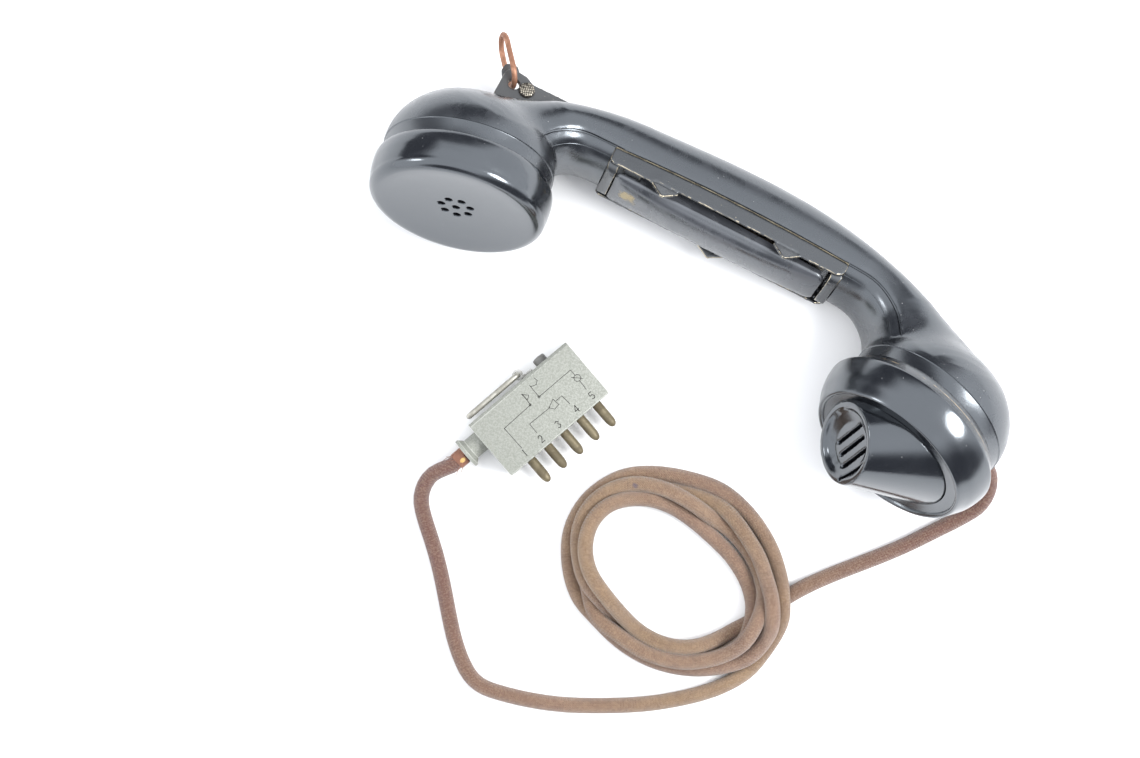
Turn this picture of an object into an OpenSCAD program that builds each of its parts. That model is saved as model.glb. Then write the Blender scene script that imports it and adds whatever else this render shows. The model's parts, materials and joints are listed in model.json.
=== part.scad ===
// Field telephone handset with press-to-talk bar, hanging ring, textile cord and five-pin plug.
// It lies on its side on a table, with the cord coiled beside it.

/* [Cups] */
// Distance along the handle between the centres of the two cup rims
cup_spacing = 173.5; // [165:0.5:185]
// How much further back the mouth cup sits than the ear cup
mouth_rise = 5; // [2:0.5:8]
// Inward tilt of the ear cup in degrees
ear_tilt = 15; // [10:0.5:20]
// Inward tilt of the mouth cup in degrees
mouth_tilt = 12.5; // [8:0.5:18]
// Radius of the moulded rim of both cups
rim_r = 29.4; // [28.5:0.1:31]
// Height of the plain band between the rim and the dome
band_h = 5.4; // [4:0.1:7]
// Depth of the dome behind the band
dome_depth = 23.3; // [22:0.1:28]
// Radius of the chamber bored in each cup
chamber_r = 24.8; // [24:0.1:25.4]
// Depth of the chamber below the rim
chamber_depth = 6; // [5:0.5:8]
// Wall of the threaded spigot that carries a cap
spigot_wall = 1.9; // [1.4:0.1:2.2]
// Height of the spigot above the rim
spigot_h = 6; // [4:0.5:7]

/* [Ear cap] */
// Greatest radius of the ear cap
ear_cap_r = 30.9; // [30.5:0.1:33]
// Height of the ear cap at its edge
ear_cap_h = 14; // [12:0.5:17]
// Depth of the dish in the ear cap's face
ear_dish = 1.8; // [0.5:0.1:2.4]
// Thickness of the ear cap's face
ear_face_wall = 2.6; // [2:0.1:3.2]
// Radius of each sound hole
sound_hole_r = 1.3; // [0.8:0.1:1.6]
// Radius of the ring of sound holes
sound_ring_r = 5.1; // [4.5:0.1:8]
// Number of sound holes round the middle one
sound_holes = 7; // [5:1:9]

/* [Mouthpiece] */
// Greatest radius of the mouth ring
mouth_ring_r = 33; // [31.5:0.1:35]
// Height of the mouth ring above the rim
mouth_ring_h = 17.5; // [16:0.5:20]
// Radius of the hole in the face of the mouth ring
mouth_hole_r = 22.9; // [21.5:0.1:23.6]
// Turn of the horn in its ring, in degrees
horn_turn = 15; // [0:1:30]
// Tilt of the horn's opening from the ring's face, in degrees
horn_tilt = 42; // [35:1:50]
// Half width of the horn's opening
horn_half_w = 17; // [14:0.5:18]
// Half height of the horn's opening
horn_half_h = 13.8; // [12:0.1:15]
// Distance of the opening's middle from the ring's axis
horn_reach = 13.9; // [12:0.1:16]
// Height of the opening's middle above the rim
horn_rise = 26.2; // [24:0.2:29]
// Number of bars across the horn's throat
horn_bars = 3; // [2:1:4]
// Depth of the smooth spoon in front of the bars
spoon_depth = 5.5; // [4:0.1:6]

/* [Capsules] */
// Radius of the receiver and microphone capsules
capsule_r = 24.3; // [23:0.1:24.4]
// Thickness of the receiver's steel diaphragm
diaphragm_h = 0.4; // [0.3:0.1:0.6]
// Width of the rubber sealing rings
gasket_w = 4; // [3:0.5:6]

/* [Handle] */
// Half width of the handle's grip
grip_half_w = 14.6; // [13.2:0.1:16]
// Step between the handle's shell and its keel
keel_step = 1.6; // [0.8:0.1:2]

/* [Talk switch] */
// Distance from the ear cup's centre to the switch frame's end
switch_start = 39.5; // [36:0.5:42]
// Length of the switch frame
frame_len = 88; // [84:0.5:90]
// Outside half width of the switch frame
frame_half_w = 13; // [12.4:0.1:13.6]
// Thickness of the frame's sheet
frame_wall = 1; // [0.8:0.1:1.2]
// Depth of the frame's side walls
frame_side_h = 5.6; // [5:0.1:6.4]
// Length of the guard teeth below the side walls
tooth_h = 4.3; // [3:0.1:6]
// Length of the block that closes each end of the frame
frame_end_len = 4; // [3:0.5:5]
// Half width of the talk bar's flange
bar_half_w = 9; // [8.5:0.1:10]
// Half width of the talk bar's raised crown
crown_half_w = 6.5; // [5:0.1:7.5]
// Thickness of the talk bar's flange
bar_flange_h = 1.4; // [1.2:0.1:1.6]
// Height of the crown on the flange
crown_h = 2.8; // [1.2:0.1:3.2]
// Travel of the talk bar in degrees
bar_travel = 2; // [1:0.5:3]
// Radius of the talk bar's hinge pin
hinge_pin_r = 1.2; // [0.9:0.1:1.4]
// Distance of the hinge pin from the ear end of the frame
hinge_x = 9; // [8.5:0.5:12]

/* [Hanger] */
// Thickness of each of the bracket's two plates
plate_h = 1.1; // [0.8:0.1:1.4]
// Radius of the bracket's rivet head
rivet_r = 2.8; // [2:0.1:3.2]
// Radius of the hanging ring's wire
ring_wire_r = 1; // [0.8:0.1:1.2]
// Half width of the hanging ring between wire centres
ring_half_w = 5; // [4.4:0.2:6.5]
// Length of the hanging ring's straight sides
ring_side = 9; // [7:0.5:12]

/* [Cord] */
// Diameter of the textile cord
cord_d = 5.4; // [5:0.1:6.4]
// Inside radius of the coil of cord
coil_in_r = 25; // [20:0.5:26]
// Outside radius of the coil of cord
coil_out_r = 40; // [38:0.5:44]

/* [Plug] */
// Length of the plug's box
plug_len = 44; // [42:0.5:48]
// Width of the plug's box
plug_w = 23; // [21:0.5:26]
// Thickness of the plug, cover included
plug_h = 14; // [12:0.5:18]
// Thickness of the plug's cover
cover_h = 2; // [1.5:0.1:3]
// Wall of the plug's box
plug_wall = 1.6; // [1.2:0.1:2.2]
// Number of pins
pin_count = 5; // [3:1:5]
// Distance between neighbouring pins
pin_pitch = 7.4; // [6.5:0.1:8]
// Radius of each pin
pin_r = 1.7; // [1.3:0.1:2]
// Length of each pin outside the box
pin_len = 10; // [8:0.5:14]
// Length of the cord gland
gland_len = 7.5; // [6:0.5:10]
// Radius of the gland's flared end
gland_r = 5.5; // [5:0.1:6]
// Radius of the locking clip's wire
clip_wire_r = 1; // [0.8:0.1:1.1]
// Length of the locking clip
clip_len = 22; // [18:0.5:23]

/* [Hidden] */
$fn = 96;
eps = 0.01;
// Gap that seats one piece on another
seat = 0.3;
// Radial clearance of a screwed joint
thread_gap = 0.25;
// Radial clearance of a turning joint
run_gap = 0.05;

// ---- Lie of the handset on the table ----
lean = 24;
slope = 0.7;
handset_x = -87.3;
handset_y = -11.6;
handset_z = 30.6;

module place_handset() {
    translate([handset_x, handset_y, handset_z])
        rotate([0, -slope, 0])
        rotate([-90 - lean, 0, 0])
        children();
}

// Frame of each cup: origin in the middle of the rim, +Z out of the cup
module in_ear() {
    place_handset()
        translate([0.5, 0, -1])
        rotate([0, 180 - ear_tilt, 0])
        children();
}

module in_mouth() {
    place_handset()
        translate([cup_spacing, 0, mouth_rise])
        rotate([0, 180 + mouth_tilt, 0])
        children();
}

// ---- Cups ----
spigot_r = chamber_r + spigot_wall;
well_r = 15;
well_depth = chamber_depth + 8;
capsule_z = seat - chamber_depth;

// Radius of the dome at a depth behind the rim
function dome_r(h) = rim_r * sqrt(max(0, 1 - pow((h - band_h) / dome_depth, 2)));

// Outline of a cup's solid from its apex to the top of the spigot
function cup_outline() = concat(
    [[0, -band_h - dome_depth]],
    [for (a = [80:-10:0]) [rim_r * cos(a), -band_h - dome_depth * sin(a)]],
    [[rim_r, -band_h + 0.4], [rim_r - 0.35, -band_h + 0.4], [rim_r - 0.35, -0.4], [rim_r - 0.75, 0],
     [spigot_r, 0], [spigot_r, spigot_h - 0.6], [spigot_r - 0.6, spigot_h], [0, spigot_h]]);

module cup_solid() {
    rotate_extrude()
        polygon(cup_outline());
}

module cup_hollow() {
    translate([0, 0, -chamber_depth])
        cylinder(r = chamber_r, h = chamber_depth + spigot_h + 30);
    translate([0, 0, -well_depth])
        cylinder(r = well_r, h = well_depth);
}

// ---- Handle, lofted through stations ----
// A station holds [back x, back z], [seam x, seam z], [keel x, keel z] and the half width beyond the grip's.
// The first stations are placed from the ear cup and the last ones from the mouth cup.
EAR_STATIONS = [
    [[-12, 26], [2, 7], [5, 4], 4],
    [[-3, 29.5], [9, 10], [13, 6.5], 5],
    [[5, 32.6], [15, 15], [19.5, 10.5], 4.5],
    [[13, 37.6], [19.3, 22.5], [24.3, 17], 2.8],
    [[23, 42.3], [26.5, 28.4], [29.2, 22], 1],
    [[38, 47.1], [37, 30.4], [38, 24.4], 0.3],
    [[56, 50], [55.5, 31.4], [56, 25.4], 0],
    [[76, 52.5], [76, 32.8], [76, 27], 0]];
MOUTH_STATIONS = [
    [[-75.5, 49], [-75.5, 29.2], [-75.5, 23.4], 0],
    [[-57.5, 48.4], [-58.5, 30.5], [-58.5, 24.6], 0],
    [[-42.5, 46.1], [-45.5, 31.3], [-45.5, 25.4], 0.2],
    [[-27.5, 42.3], [-34.5, 30.2], [-37, 24.8], 0.8],
    [[-15.5, 38.4], [-25.2, 24], [-30, 20], 2.2],
    [[-5.5, 34.6], [-19.7, 15.5], [-26, 13], 4],
    [[4.5, 31], [-13.5, 9], [-19.5, 6], 5],
    [[12.5, 26.5], [-5.5, 4], [-9.5, 3], 4]];
function moved(s) = [
    s[0] + [cup_spacing, mouth_rise], s[1] + [cup_spacing, mouth_rise],
    s[2] + [cup_spacing, mouth_rise], s[3]];
STATIONS = concat(EAR_STATIONS, [for (s = MOUTH_STATIONS) moved(s)]);
SUB_STEPS = 2;
RING_SIDES = 12;
// Height of the shell's widest line above its seam, as a share of the shell's height
WIDEST = 0.34;

// Catmull-Rom blend of four values
function blend4(a, b, c, d, t) = 0.5 * (2 * b + (c - a) * t
    + (2 * a - 5 * b + 4 * c - d) * t * t + (3 * b - a - 3 * c + d) * t * t * t);
function pick(list, i) = list[min(max(i, 0), len(list) - 1)];
function smooth(list, steps) = concat(
    [for (i = [0:len(list) - 2], k = [0:steps - 1])
        [for (j = [0:len(list[0]) - 1])
            blend4(pick(list, i - 1)[j], list[i][j], list[i + 1][j], pick(list, i + 2)[j], k / steps)]],
    [list[len(list) - 1]]);

// One ring of the handle: an oval shell above the seam and a narrower keel below it
function handle_ring(s) =
    let (back = s[0], seam = s[1], keel = s[2] - s[1], half = grip_half_w + s[3],
         shell = back - seam, keel_half = half - keel_step)
    concat(
        [for (a = [0:180 / RING_SIDES:180])
            let (p = seam + shell * (WIDEST + (1 - WIDEST) * sin(a))) [p[0], half * cos(a), p[1]]],
        [for (h = [0.4 * WIDEST, 0]) let (p = seam + shell * h)
            [p[0], -half * (h > 0 ? 0.995 : 0.97), p[1]]],
        [for (a = [0:22.5:180]) let (p = seam + keel * sin(a)) [p[0], -keel_half * cos(a), p[1]]],
        [for (h = [0, 0.4 * WIDEST]) let (p = seam + shell * h)
            [p[0], half * (h > 0 ? 0.995 : 0.97), p[1]]]);

module loft(rings) {
    n = len(rings[0]);
    m = len(rings);
    polyhedron(
        points = [for (r = rings) each r],
        faces = concat(
            [[for (i = [0:n - 1]) i]],
            [for (j = [0:m - 2], i = [0:n - 1])
                each [[j * n + i, (j + 1) * n + i, (j + 1) * n + (i + 1) % n],
                      [j * n + i, (j + 1) * n + (i + 1) % n, j * n + (i + 1) % n]]],
            [[for (i = [n - 1:-1:0]) (m - 1) * n + i]]),
        convexity = 6);
}

module handle_solid() {
    place_handset()
        loft([for (s = smooth(STATIONS, SUB_STEPS)) handle_ring(s)]);
}

// ---- Talk switch: origin at the ear end of the frame, on the seam, +Z into the handle ----
switch_z = 30.4;
switch_pitch = 3.9;
pocket_h = 9;
pocket_half_w = 7.5;
pocket_start = 18;
pocket_end = 76;
bar_top = -5.8;
hinge_z = -3.4;
// Upper line of the frame's sides, bowed with the handle
bow_h = 1.4;
BOW = [for (i = [0:8]) [i * frame_len / 8, bow_h * (1 - pow(i / 4 - 1, 2))]];

// Extrudes a side view, drawn in X and Z, to both sides
module side_view(half) {
    rotate([90, 0, 0])
        linear_extrude(height = 2 * half, center = true)
        children();
}

module in_switch() {
    place_handset()
        translate([switch_start, 0, switch_z])
        rotate([0, -switch_pitch, 0])
        children();
}

// ---- Bracket: origin at the rivet, +X towards the mouth, +Z away from the handle ----
rivet_x = 2.8;
rivet_z = 38.6;
ring_hole = [-4.9, -0.1];
ring_hole_r = ring_wire_r + 1;
tang_x = -6.8;
tang_len = 22;
tang_depth = 11;

module in_bracket() {
    place_handset()
        translate([rivet_x, 0, rivet_z])
        children();
}

// ---- Cord bush: origin on the mouth cup's dome, +Z out along the cord ----
bush_turn = 145;
bush_depth = 13;
bush_tilt = 20;
bush_r = cord_d / 2 + 1.2;
bush_len = 9;
bush_proud = 1.5;

module in_bush() {
    in_mouth()
        rotate([0, 0, bush_turn])
        translate([dome_r(bush_depth), 0, -bush_depth])
        rotate([0, 90 + bush_tilt, 0])
        children();
}

frame_screw_x = [15.2, frame_len - 8];
frame_screw_y = 5;
screw_r = 0.9;
screw_head_r = 1.6;
frame_screw_len = 6;
pack_x = 26;
pack_screw_len = 4;

module handset_body() {
    color([0.05, 0.05, 0.06])
        difference() {
            union() {
                in_ear() cup_solid();
                in_mouth() cup_solid();
                handle_solid();
            }
            in_ear() cup_hollow();
            in_mouth() cup_hollow();
            // Seat of the switch frame, cut across the keel
            in_switch()
                side_view(20)
                polygon(concat([[0, -12]], BOW, [[frame_len, -12]]));
            in_switch()
                translate([pocket_start, -pocket_half_w, -1])
                cube([pocket_end - pocket_start, 2 * pocket_half_w, pocket_h + 1]);
            in_bush()
                translate([0, 0, -bush_len])
                cylinder(r = bush_r + run_gap, h = 3 * bush_len);
            in_bush()
                translate([0, 0, -2.4 * bush_len])
                cylinder(r = cord_d / 2, h = 2 * bush_len);
            in_bracket()
                translate([tang_x - seat, -plate_h - seat, -tang_depth - seat])
                cube([tang_len + 2 * seat, 2 * (plate_h + seat), 2 * tang_depth]);
            for (x = frame_screw_x, side = [-1, 1])
                in_switch()
                translate([x, side * frame_screw_y, -1])
                cylinder(r = screw_r + run_gap, h = frame_screw_len + 1 + seat);
            for (side = [-1, 1])
                in_switch()
                translate([pack_x, side * frame_screw_y, pocket_h - 1])
                cylinder(r = screw_r + run_gap, h = pack_screw_len + 1 + seat);
        }
}

// ---- Ear cup's pieces ----
module ear_cap() {
    color([0.06, 0.06, 0.07])
        in_ear()
        difference() {
            rotate_extrude()
                polygon(concat(
                    [[0, ear_cap_h - ear_dish], [ear_cap_r - 12, ear_cap_h - 0.9],
                     [ear_cap_r - 5.2, ear_cap_h]],
                    [for (a = [75:-15:0]) [ear_cap_r - 4.1 + 3.4 * cos(a), ear_cap_h - 3.5 + 3.4 * sin(a)]],
                    [[ear_cap_r - 0.1, ear_cap_h - 7.5], [ear_cap_r, 4.5], [ear_cap_r - 0.1, 2],
                     [rim_r + 0.2, 0.05], [0, 0.05]]));
            translate([0, 0, -eps])
                cylinder(r = spigot_r + thread_gap, h = spigot_h + seat);
            translate([0, 0, -eps])
                cylinder(r = chamber_r, h = ear_cap_h - ear_dish - ear_face_wall);
            for (i = [0:sound_holes])
                rotate([0, 0, i * 360 / sound_holes])
                translate([i < sound_holes ? sound_ring_r : 0, 0, 0])
                cylinder(r = sound_hole_r, h = 2 * ear_cap_h);
        }
}

ear_gasket_h = 1.8;
receiver_top = ear_cap_h - ear_dish - ear_face_wall - ear_gasket_h - diaphragm_h - 0.2;
receiver_h = receiver_top - capsule_z;

module receiver_capsule() {
    color([0.55, 0.55, 0.52])
        in_ear()
        translate([0, 0, capsule_z])
        difference() {
            rotate_extrude()
                polygon([[0, 0], [capsule_r - 6, 0], [capsule_r - 6, 3], [capsule_r, 4.5],
                         [capsule_r, receiver_h], [capsule_r - 2, receiver_h],
                         [capsule_r - 2, receiver_h - 1.6], [0, receiver_h - 1.6]]);
            for (x = [-8, 8])
                translate([x, 0, -1])
                cylinder(r = 1.2, h = 3);
        }
}

module receiver_diaphragm() {
    color([0.35, 0.36, 0.38])
        in_ear()
        translate([0, 0, receiver_top + eps])
        cylinder(r = capsule_r - 0.4, h = diaphragm_h);
}

module ear_gasket() {
    color([0.12, 0.1, 0.09])
        in_ear()
        translate([0, 0, receiver_top + diaphragm_h + 2 * eps])
        ring_washer(capsule_r - 0.4, gasket_w, ear_gasket_h);
}

module ring_washer(r, w, h) {
    difference() {
        cylinder(r = r, h = h);
        translate([0, 0, -1])
            cylinder(r = r - w, h = h + 2);
    }
}

// A pair of leaf contacts on a moulded block, standing on the floor of a cup's well
module capsule_contacts() {
    gap = capsule_z + well_depth - 3.1;
    translate([-7, -5, -well_depth + eps])
        cube([14, 10, 3]);
    for (x = [-5.5, 1.5]) {
        translate([x, -2, -well_depth + 3 + 2 * eps])
            cube([4, 4, 0.5]);
        translate([x, 1.5, -well_depth + 3 + 2 * eps])
            cube([4, 0.5, gap]);
        translate([x, -3.5, -well_depth + 2.5 + gap])
            cube([4, 5.5, 0.5]);
    }
}

module receiver_contacts() {
    color([0.72, 0.56, 0.25])
        in_ear()
        capsule_contacts();
}

// ---- Mouth cup's pieces ----
ring_face_z = mouth_ring_h - 1;
ring_face_wall = 2.4;
horn_flange_h = 2;

module mouth_ring() {
    color([0.06, 0.06, 0.07])
        in_mouth()
        difference() {
            rotate_extrude()
                polygon([[0, 0.05], [rim_r + 0.1, 0.05], [rim_r + 1.6, 2.4], [mouth_ring_r - 0.4, 4.7],
                         [mouth_ring_r, 5.2], [mouth_ring_r, 6], [mouth_ring_r - 0.5, 9],
                         [mouth_ring_r - 1.5, 12], [mouth_ring_r - 2.9, 14.6],
                         [mouth_ring_r - 4.2, mouth_ring_h - 0.5], [mouth_ring_r - 4.9, mouth_ring_h],
                         [mouth_ring_r - 5.7, mouth_ring_h - 0.2], [mouth_ring_r - 6.2, ring_face_z],
                         [0, ring_face_z]]);
            translate([0, 0, -eps])
                cylinder(r = spigot_r + thread_gap, h = spigot_h + seat);
            translate([0, 0, -eps])
                cylinder(r = horn_base_r + thread_gap, h = ring_face_z - ring_face_wall + eps);
            cylinder(r = mouth_hole_r, h = 2 * mouth_ring_h);
        }
}

horn_base_r = mouth_hole_r + 2.6;
horn_base_z = ring_face_z - ring_face_wall - 0.1;

module in_horn() {
    in_mouth()
        rotate([0, 0, -horn_turn])
        children();
}

// An oval disc in the plane of the horn's opening, sunk below it and drawn in by inset
module opening_disc(inset, sunk, shift, thick) {
    translate([horn_reach, 0, horn_rise])
        rotate([0, horn_tilt, 0])
        translate([shift, 0, -sunk - thick])
        linear_extrude(height = thick)
        scale([horn_half_h - inset, horn_half_w - inset])
        circle(r = 1, $fn = 48);
}

module mouth_horn() {
    color([0.06, 0.06, 0.07])
        in_horn()
        difference() {
            union() {
                hull() {
                    translate([0, 0, horn_base_z])
                        cylinder(r = mouth_hole_r - 0.15, h = 3, $fn = 64);
                    opening_disc(0, 0, 0, 0.8);
                }
                translate([0, 0, horn_base_z - horn_flange_h])
                    cylinder(r = horn_base_r, h = horn_flange_h);
            }
            // Clear of the ring's face, which holds the flange down
            translate([0, 0, horn_base_z + 0.05])
                ring_washer(mouth_hole_r + 7.9, 8, mouth_ring_h - horn_base_z + 0.1);
            // Throat behind the bars
            hull() {
                translate([0, 0, horn_base_z - horn_flange_h - 1])
                    cylinder(r = mouth_hole_r - 4, h = 2, $fn = 48);
                opening_disc(5, spoon_depth + 2.5, -2, 0.5);
            }
            // Spoon in front of the bars
            hull() {
                opening_disc(1.3, -1, 0, 0.5);
                opening_disc(4.2, spoon_depth, 0, 0.5);
            }
            for (i = [0:horn_bars])
                translate([horn_reach, 0, horn_rise])
                rotate([0, horn_tilt, 0])
                translate([-horn_half_h + 3 + i * 4.6, -9.5, -12])
                cube([2.4, 19, 12]);
        }
}

mouth_gasket_h = 1.6;
microphone_top = horn_base_z - horn_flange_h - mouth_gasket_h - 0.2;
microphone_h = microphone_top - capsule_z;

module microphone_capsule() {
    color([0.6, 0.58, 0.5])
        in_mouth()
        translate([0, 0, capsule_z])
        difference() {
            rotate_extrude()
                polygon([[0, 0], [capsule_r - 7, 0], [capsule_r - 7, 4], [capsule_r - 1, 6],
                         [capsule_r, 7], [capsule_r, microphone_h - 1], [capsule_r - 1, microphone_h],
                         [0, microphone_h]]);
            for (i = [0:5])
                rotate([0, 0, 60 * i])
                translate([8, 0, microphone_h - 1.5])
                cylinder(r = 1, h = 3);
        }
}

module mouth_gasket() {
    color([0.12, 0.1, 0.09])
        in_mouth()
        translate([0, 0, microphone_top + 0.1])
        ring_washer(capsule_r, gasket_w, mouth_gasket_h);
}

module microphone_contacts() {
    color([0.72, 0.56, 0.25])
        in_mouth()
        capsule_contacts();
}

// ---- Talk switch's pieces ----
tooth_half_w = 5.1;
tooth_bend = 22;
near_teeth = [21, frame_len - 21.2];
far_teeth = [frame_len / 2 + 0.8];
lug_half_l = 3;
knuckle_r = 2.6;
knuckle_gap = 3;
stud_x = 62;
end_h = 7.3;

// Side wall on the near side of the frame, with pointed guard teeth bent inwards
module side_wall(teeth, lift, tip) {
    first = teeth[0] - tooth_half_w;
    last = teeth[len(teeth) - 1] + tooth_half_w;
    translate([0, frame_wall, 0])
        rotate([90, 0, 0])
        linear_extrude(height = frame_wall)
        polygon(concat(BOW,
            [[frame_len, 3 - frame_side_h], [frame_len - 0.7, 1 - frame_side_h],
             [frame_len - 2.5, -frame_side_h], [last, -frame_side_h], [last - 1.2, lift - frame_side_h],
             [first + 1.2, lift - frame_side_h], [first, -frame_side_h], [1.5, -frame_side_h],
             [0, 1 - frame_side_h]]));
    for (t = teeth)
        translate([t, 0, -frame_side_h])
        rotate([90 - tooth_bend, 0, 0])
        translate([0, 0, -frame_wall])
        linear_extrude(height = frame_wall)
        polygon([[1.2 - tooth_half_w, lift + 0.4], [-tooth_half_w, 0], [-1.1, 0.5 - tip],
                 [-0.5, -tip], [0.5, -tip], [1.1, 0.5 - tip], [tooth_half_w, 0],
                 [tooth_half_w - 1.2, lift + 0.4]]);
}

// Block that closes one end of the frame, rounded towards the palm and towards the neck
module end_block() {
    intersection() {
        rotate([90, 0, 90])
            linear_extrude(height = frame_end_len)
            polygon(concat(
                [[0.5 - frame_half_w, 0], [0.5 - frame_half_w, -4]],
                [for (a = [0:15:90]) [1 - crown_half_w - 5 * cos(a), 3.6 - end_h - 3.6 * sin(a)]],
                [for (a = [90:-15:0]) [crown_half_w - 1 + 5 * cos(a), 3.6 - end_h - 3.6 * sin(a)]],
                [[frame_half_w - 0.5, -4], [frame_half_w - 0.5, 0]]));
        side_view(frame_half_w)
            polygon([[0, 0], [0, -5], [0.5, -6.4], [1.5, 0.5 - end_h], [2.4, -end_h],
                     [frame_end_len, -end_h], [frame_end_len, 0]]);
    }
}

module across(r, from, to) {
    translate([0, from, 0])
        rotate([-90, 0, 0])
        cylinder(r = r, h = to - from);
}

module switch_frame() {
    color([0.1, 0.1, 0.1])
        in_switch()
        difference() {
            union() {
                translate([0, -frame_half_w, 0])
                    side_wall(near_teeth, 1, tooth_h);
                translate([0, frame_half_w, 0])
                    mirror([0, 1, 0])
                    side_wall(far_teeth, 0, 0.6 * tooth_h);
                translate([0, -frame_half_w + 0.5, -frame_wall])
                    cube([frame_len, 2 * frame_half_w - 1, frame_wall]);
                end_block();
                translate([frame_len, 0, 0])
                    mirror([1, 0, 0])
                    end_block();
                for (side = [-1, 1])
                    translate([hinge_x - lug_half_l, side * (bar_half_w + 1.8) - 1.5, 0.2 - frame_side_h])
                    cube([2 * lug_half_l, 3, frame_side_h - 0.4]);
            }
            translate([frame_end_len, -bar_half_w - 0.2, -2 * frame_wall])
                cube([9, 2 * bar_half_w + 0.4, 3 * frame_wall]);
            translate([pocket_start - 0.5, -pocket_half_w, -2 * frame_wall])
                cube([pocket_end - pocket_start + 0.5, 2 * pocket_half_w, 3 * frame_wall]);
            translate([hinge_x, 0, hinge_z])
                across(hinge_pin_r + run_gap, frame_wall - frame_half_w, frame_half_w - frame_wall);
            for (x = frame_screw_x, side = [-1, 1])
                translate([x, side * frame_screw_y, -2 * frame_wall])
                cylinder(r = screw_r + run_gap, h = 3 * frame_wall);
        }
}

module screw(len, head_h) {
    cylinder(r = screw_r, h = len);
    difference() {
        translate([0, 0, -head_h])
            cylinder(r = screw_head_r, h = head_h);
        translate([-screw_head_r, -0.25, -head_h - 1])
            cube([2 * screw_head_r, 0.5, 1.35]);
    }
}

module switch_frame_screws() {
    color([0.5, 0.48, 0.42])
        for (x = frame_screw_x, side = [-1, 1])
            in_switch()
            translate([x, side * frame_screw_y, -frame_wall - eps])
            screw(frame_screw_len + frame_wall, 0.7);
}

bar_start = frame_end_len + 0.4;
bar_end = frame_len - frame_end_len - 1.4;
flange_z = bar_top - bar_flange_h;

module talk_bar() {
    color([0.09, 0.09, 0.09])
        in_switch()
        difference() {
            union() {
                translate([bar_start, -bar_half_w, flange_z])
                    cube([bar_end - bar_start, 2 * bar_half_w, bar_flange_h]);
                // Crown, arched both ways
                intersection() {
                    translate([bar_start, 0, flange_z])
                        rotate([90, 0, 90])
                        linear_extrude(height = bar_end - bar_start)
                        polygon([[-bar_half_w + 1, 0.1], [-bar_half_w + 1.2, -0.2], [-crown_half_w, -0.8],
                                 [1.6 - crown_half_w, -crown_h], [crown_half_w - 1.6, -crown_h],
                                 [crown_half_w, -0.8], [bar_half_w - 1.2, -0.2], [bar_half_w - 1, 0.1]]);
                    side_view(bar_half_w)
                        polygon(concat([[bar_start, 0], [bar_start, flange_z]],
                            [for (i = [0:8]) let (t = i / 8)
                                [bar_start + 0.8 + t * (bar_end - bar_start - 1.6),
                                 flange_z - crown_h + (crown_h - 1) * pow(2 * t - 1, 2)]],
                            [[bar_end, flange_z], [bar_end, 0]]));
                }
                for (y = [[0.2 - bar_half_w, -knuckle_gap], [knuckle_gap, bar_half_w - 0.2]]) {
                    translate([hinge_x, 0, hinge_z])
                        across(knuckle_r, y[0], y[1]);
                    translate([hinge_x - 2.2, y[0], bar_top - 0.2])
                        cube([4.4, y[1] - y[0], hinge_z - bar_top - 1.3]);
                }
            }
            translate([hinge_x, 0, hinge_z])
                across(hinge_pin_r + run_gap, -frame_half_w, frame_half_w);
            translate([stud_x, 0, flange_z + 0.2])
                cylinder(r = 1.2, h = bar_flange_h);
        }
}

// Height of each contact spring above the frame's seat
leaf_z = [1.9, 4.4, 6.9];
// The stud just meets the lowest leaf spring's contact when the bar is pressed home
stud_h = leaf_z[0] - 0.4 - bar_top - (stud_x - hinge_x) * tan(bar_travel);

module talk_bar_stud() {
    color([0.45, 0.2, 0.1])
        in_switch()
        translate([stud_x, 0, bar_top]) {
            translate([0, 0, 0.02])
                cylinder(r = 2.2, h = stud_h);
            translate([0, 0, 0.3 - bar_flange_h])
                cylinder(r = 1.15, h = bar_flange_h);
        }
}

module talk_bar_pin() {
    color([0.5, 0.5, 0.5])
        in_switch()
        translate([hinge_x, 0, hinge_z])
        across(hinge_pin_r, frame_wall + 0.1 - frame_half_w, frame_half_w - frame_wall - 0.1);
}

spring_r = 1.9;
spring_wire_r = 0.4;

// Return spring: closed turns round the pin and one leg to each side
module talk_bar_spring() {
    color([0.55, 0.55, 0.55])
        in_switch()
        translate([hinge_x, 0, hinge_z]) {
            rotate([90, 0, 0])
                rotate_extrude()
                for (i = [-2.5:1:2.5])
                    translate([spring_r, i * 0.78])
                    circle(r = spring_wire_r, $fn = 24);
            for (leg = [[2.35, 1.95, 0], [-1.95, -1.95, 5]])
                translate([0, leg[1] > 0 ? 1.95 : -1.95, leg[1]])
                rotate([0, 90 - leg[2], 0])
                cylinder(r = spring_wire_r, h = 5, $fn = 24);
        }
}

leaf_half_w = 3;

module switch_insulator() {
    color([0.35, 0.18, 0.1])
        in_switch()
        difference() {
            translate([pack_x - 4, -pocket_half_w + 0.4, 0.9])
                cube([8, 2 * pocket_half_w - 0.8, pocket_h - 0.9 - seat]);
            for (z = leaf_z)
                translate([pack_x - 5, -leaf_half_w - run_gap, z - run_gap])
                cube([10, 2 * (leaf_half_w + run_gap), 0.4 + 2 * run_gap]);
            for (side = [-1, 1])
                translate([pack_x, side * frame_screw_y, 0])
                cylinder(r = screw_r + run_gap, h = pocket_h);
        }
}

module switch_contact_springs() {
    color([0.75, 0.6, 0.3])
        in_switch()
        for (i = [0:2])
            translate([pocket_start + 1.5, -leaf_half_w, leaf_z[i]]) {
                cube([46 - 1.5 * i, 2 * leaf_half_w, 0.4]);
                translate([43 - 1.5 * i, leaf_half_w, -0.3])
                    cylinder(r = 1.1, h = 1);
            }
}

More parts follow.
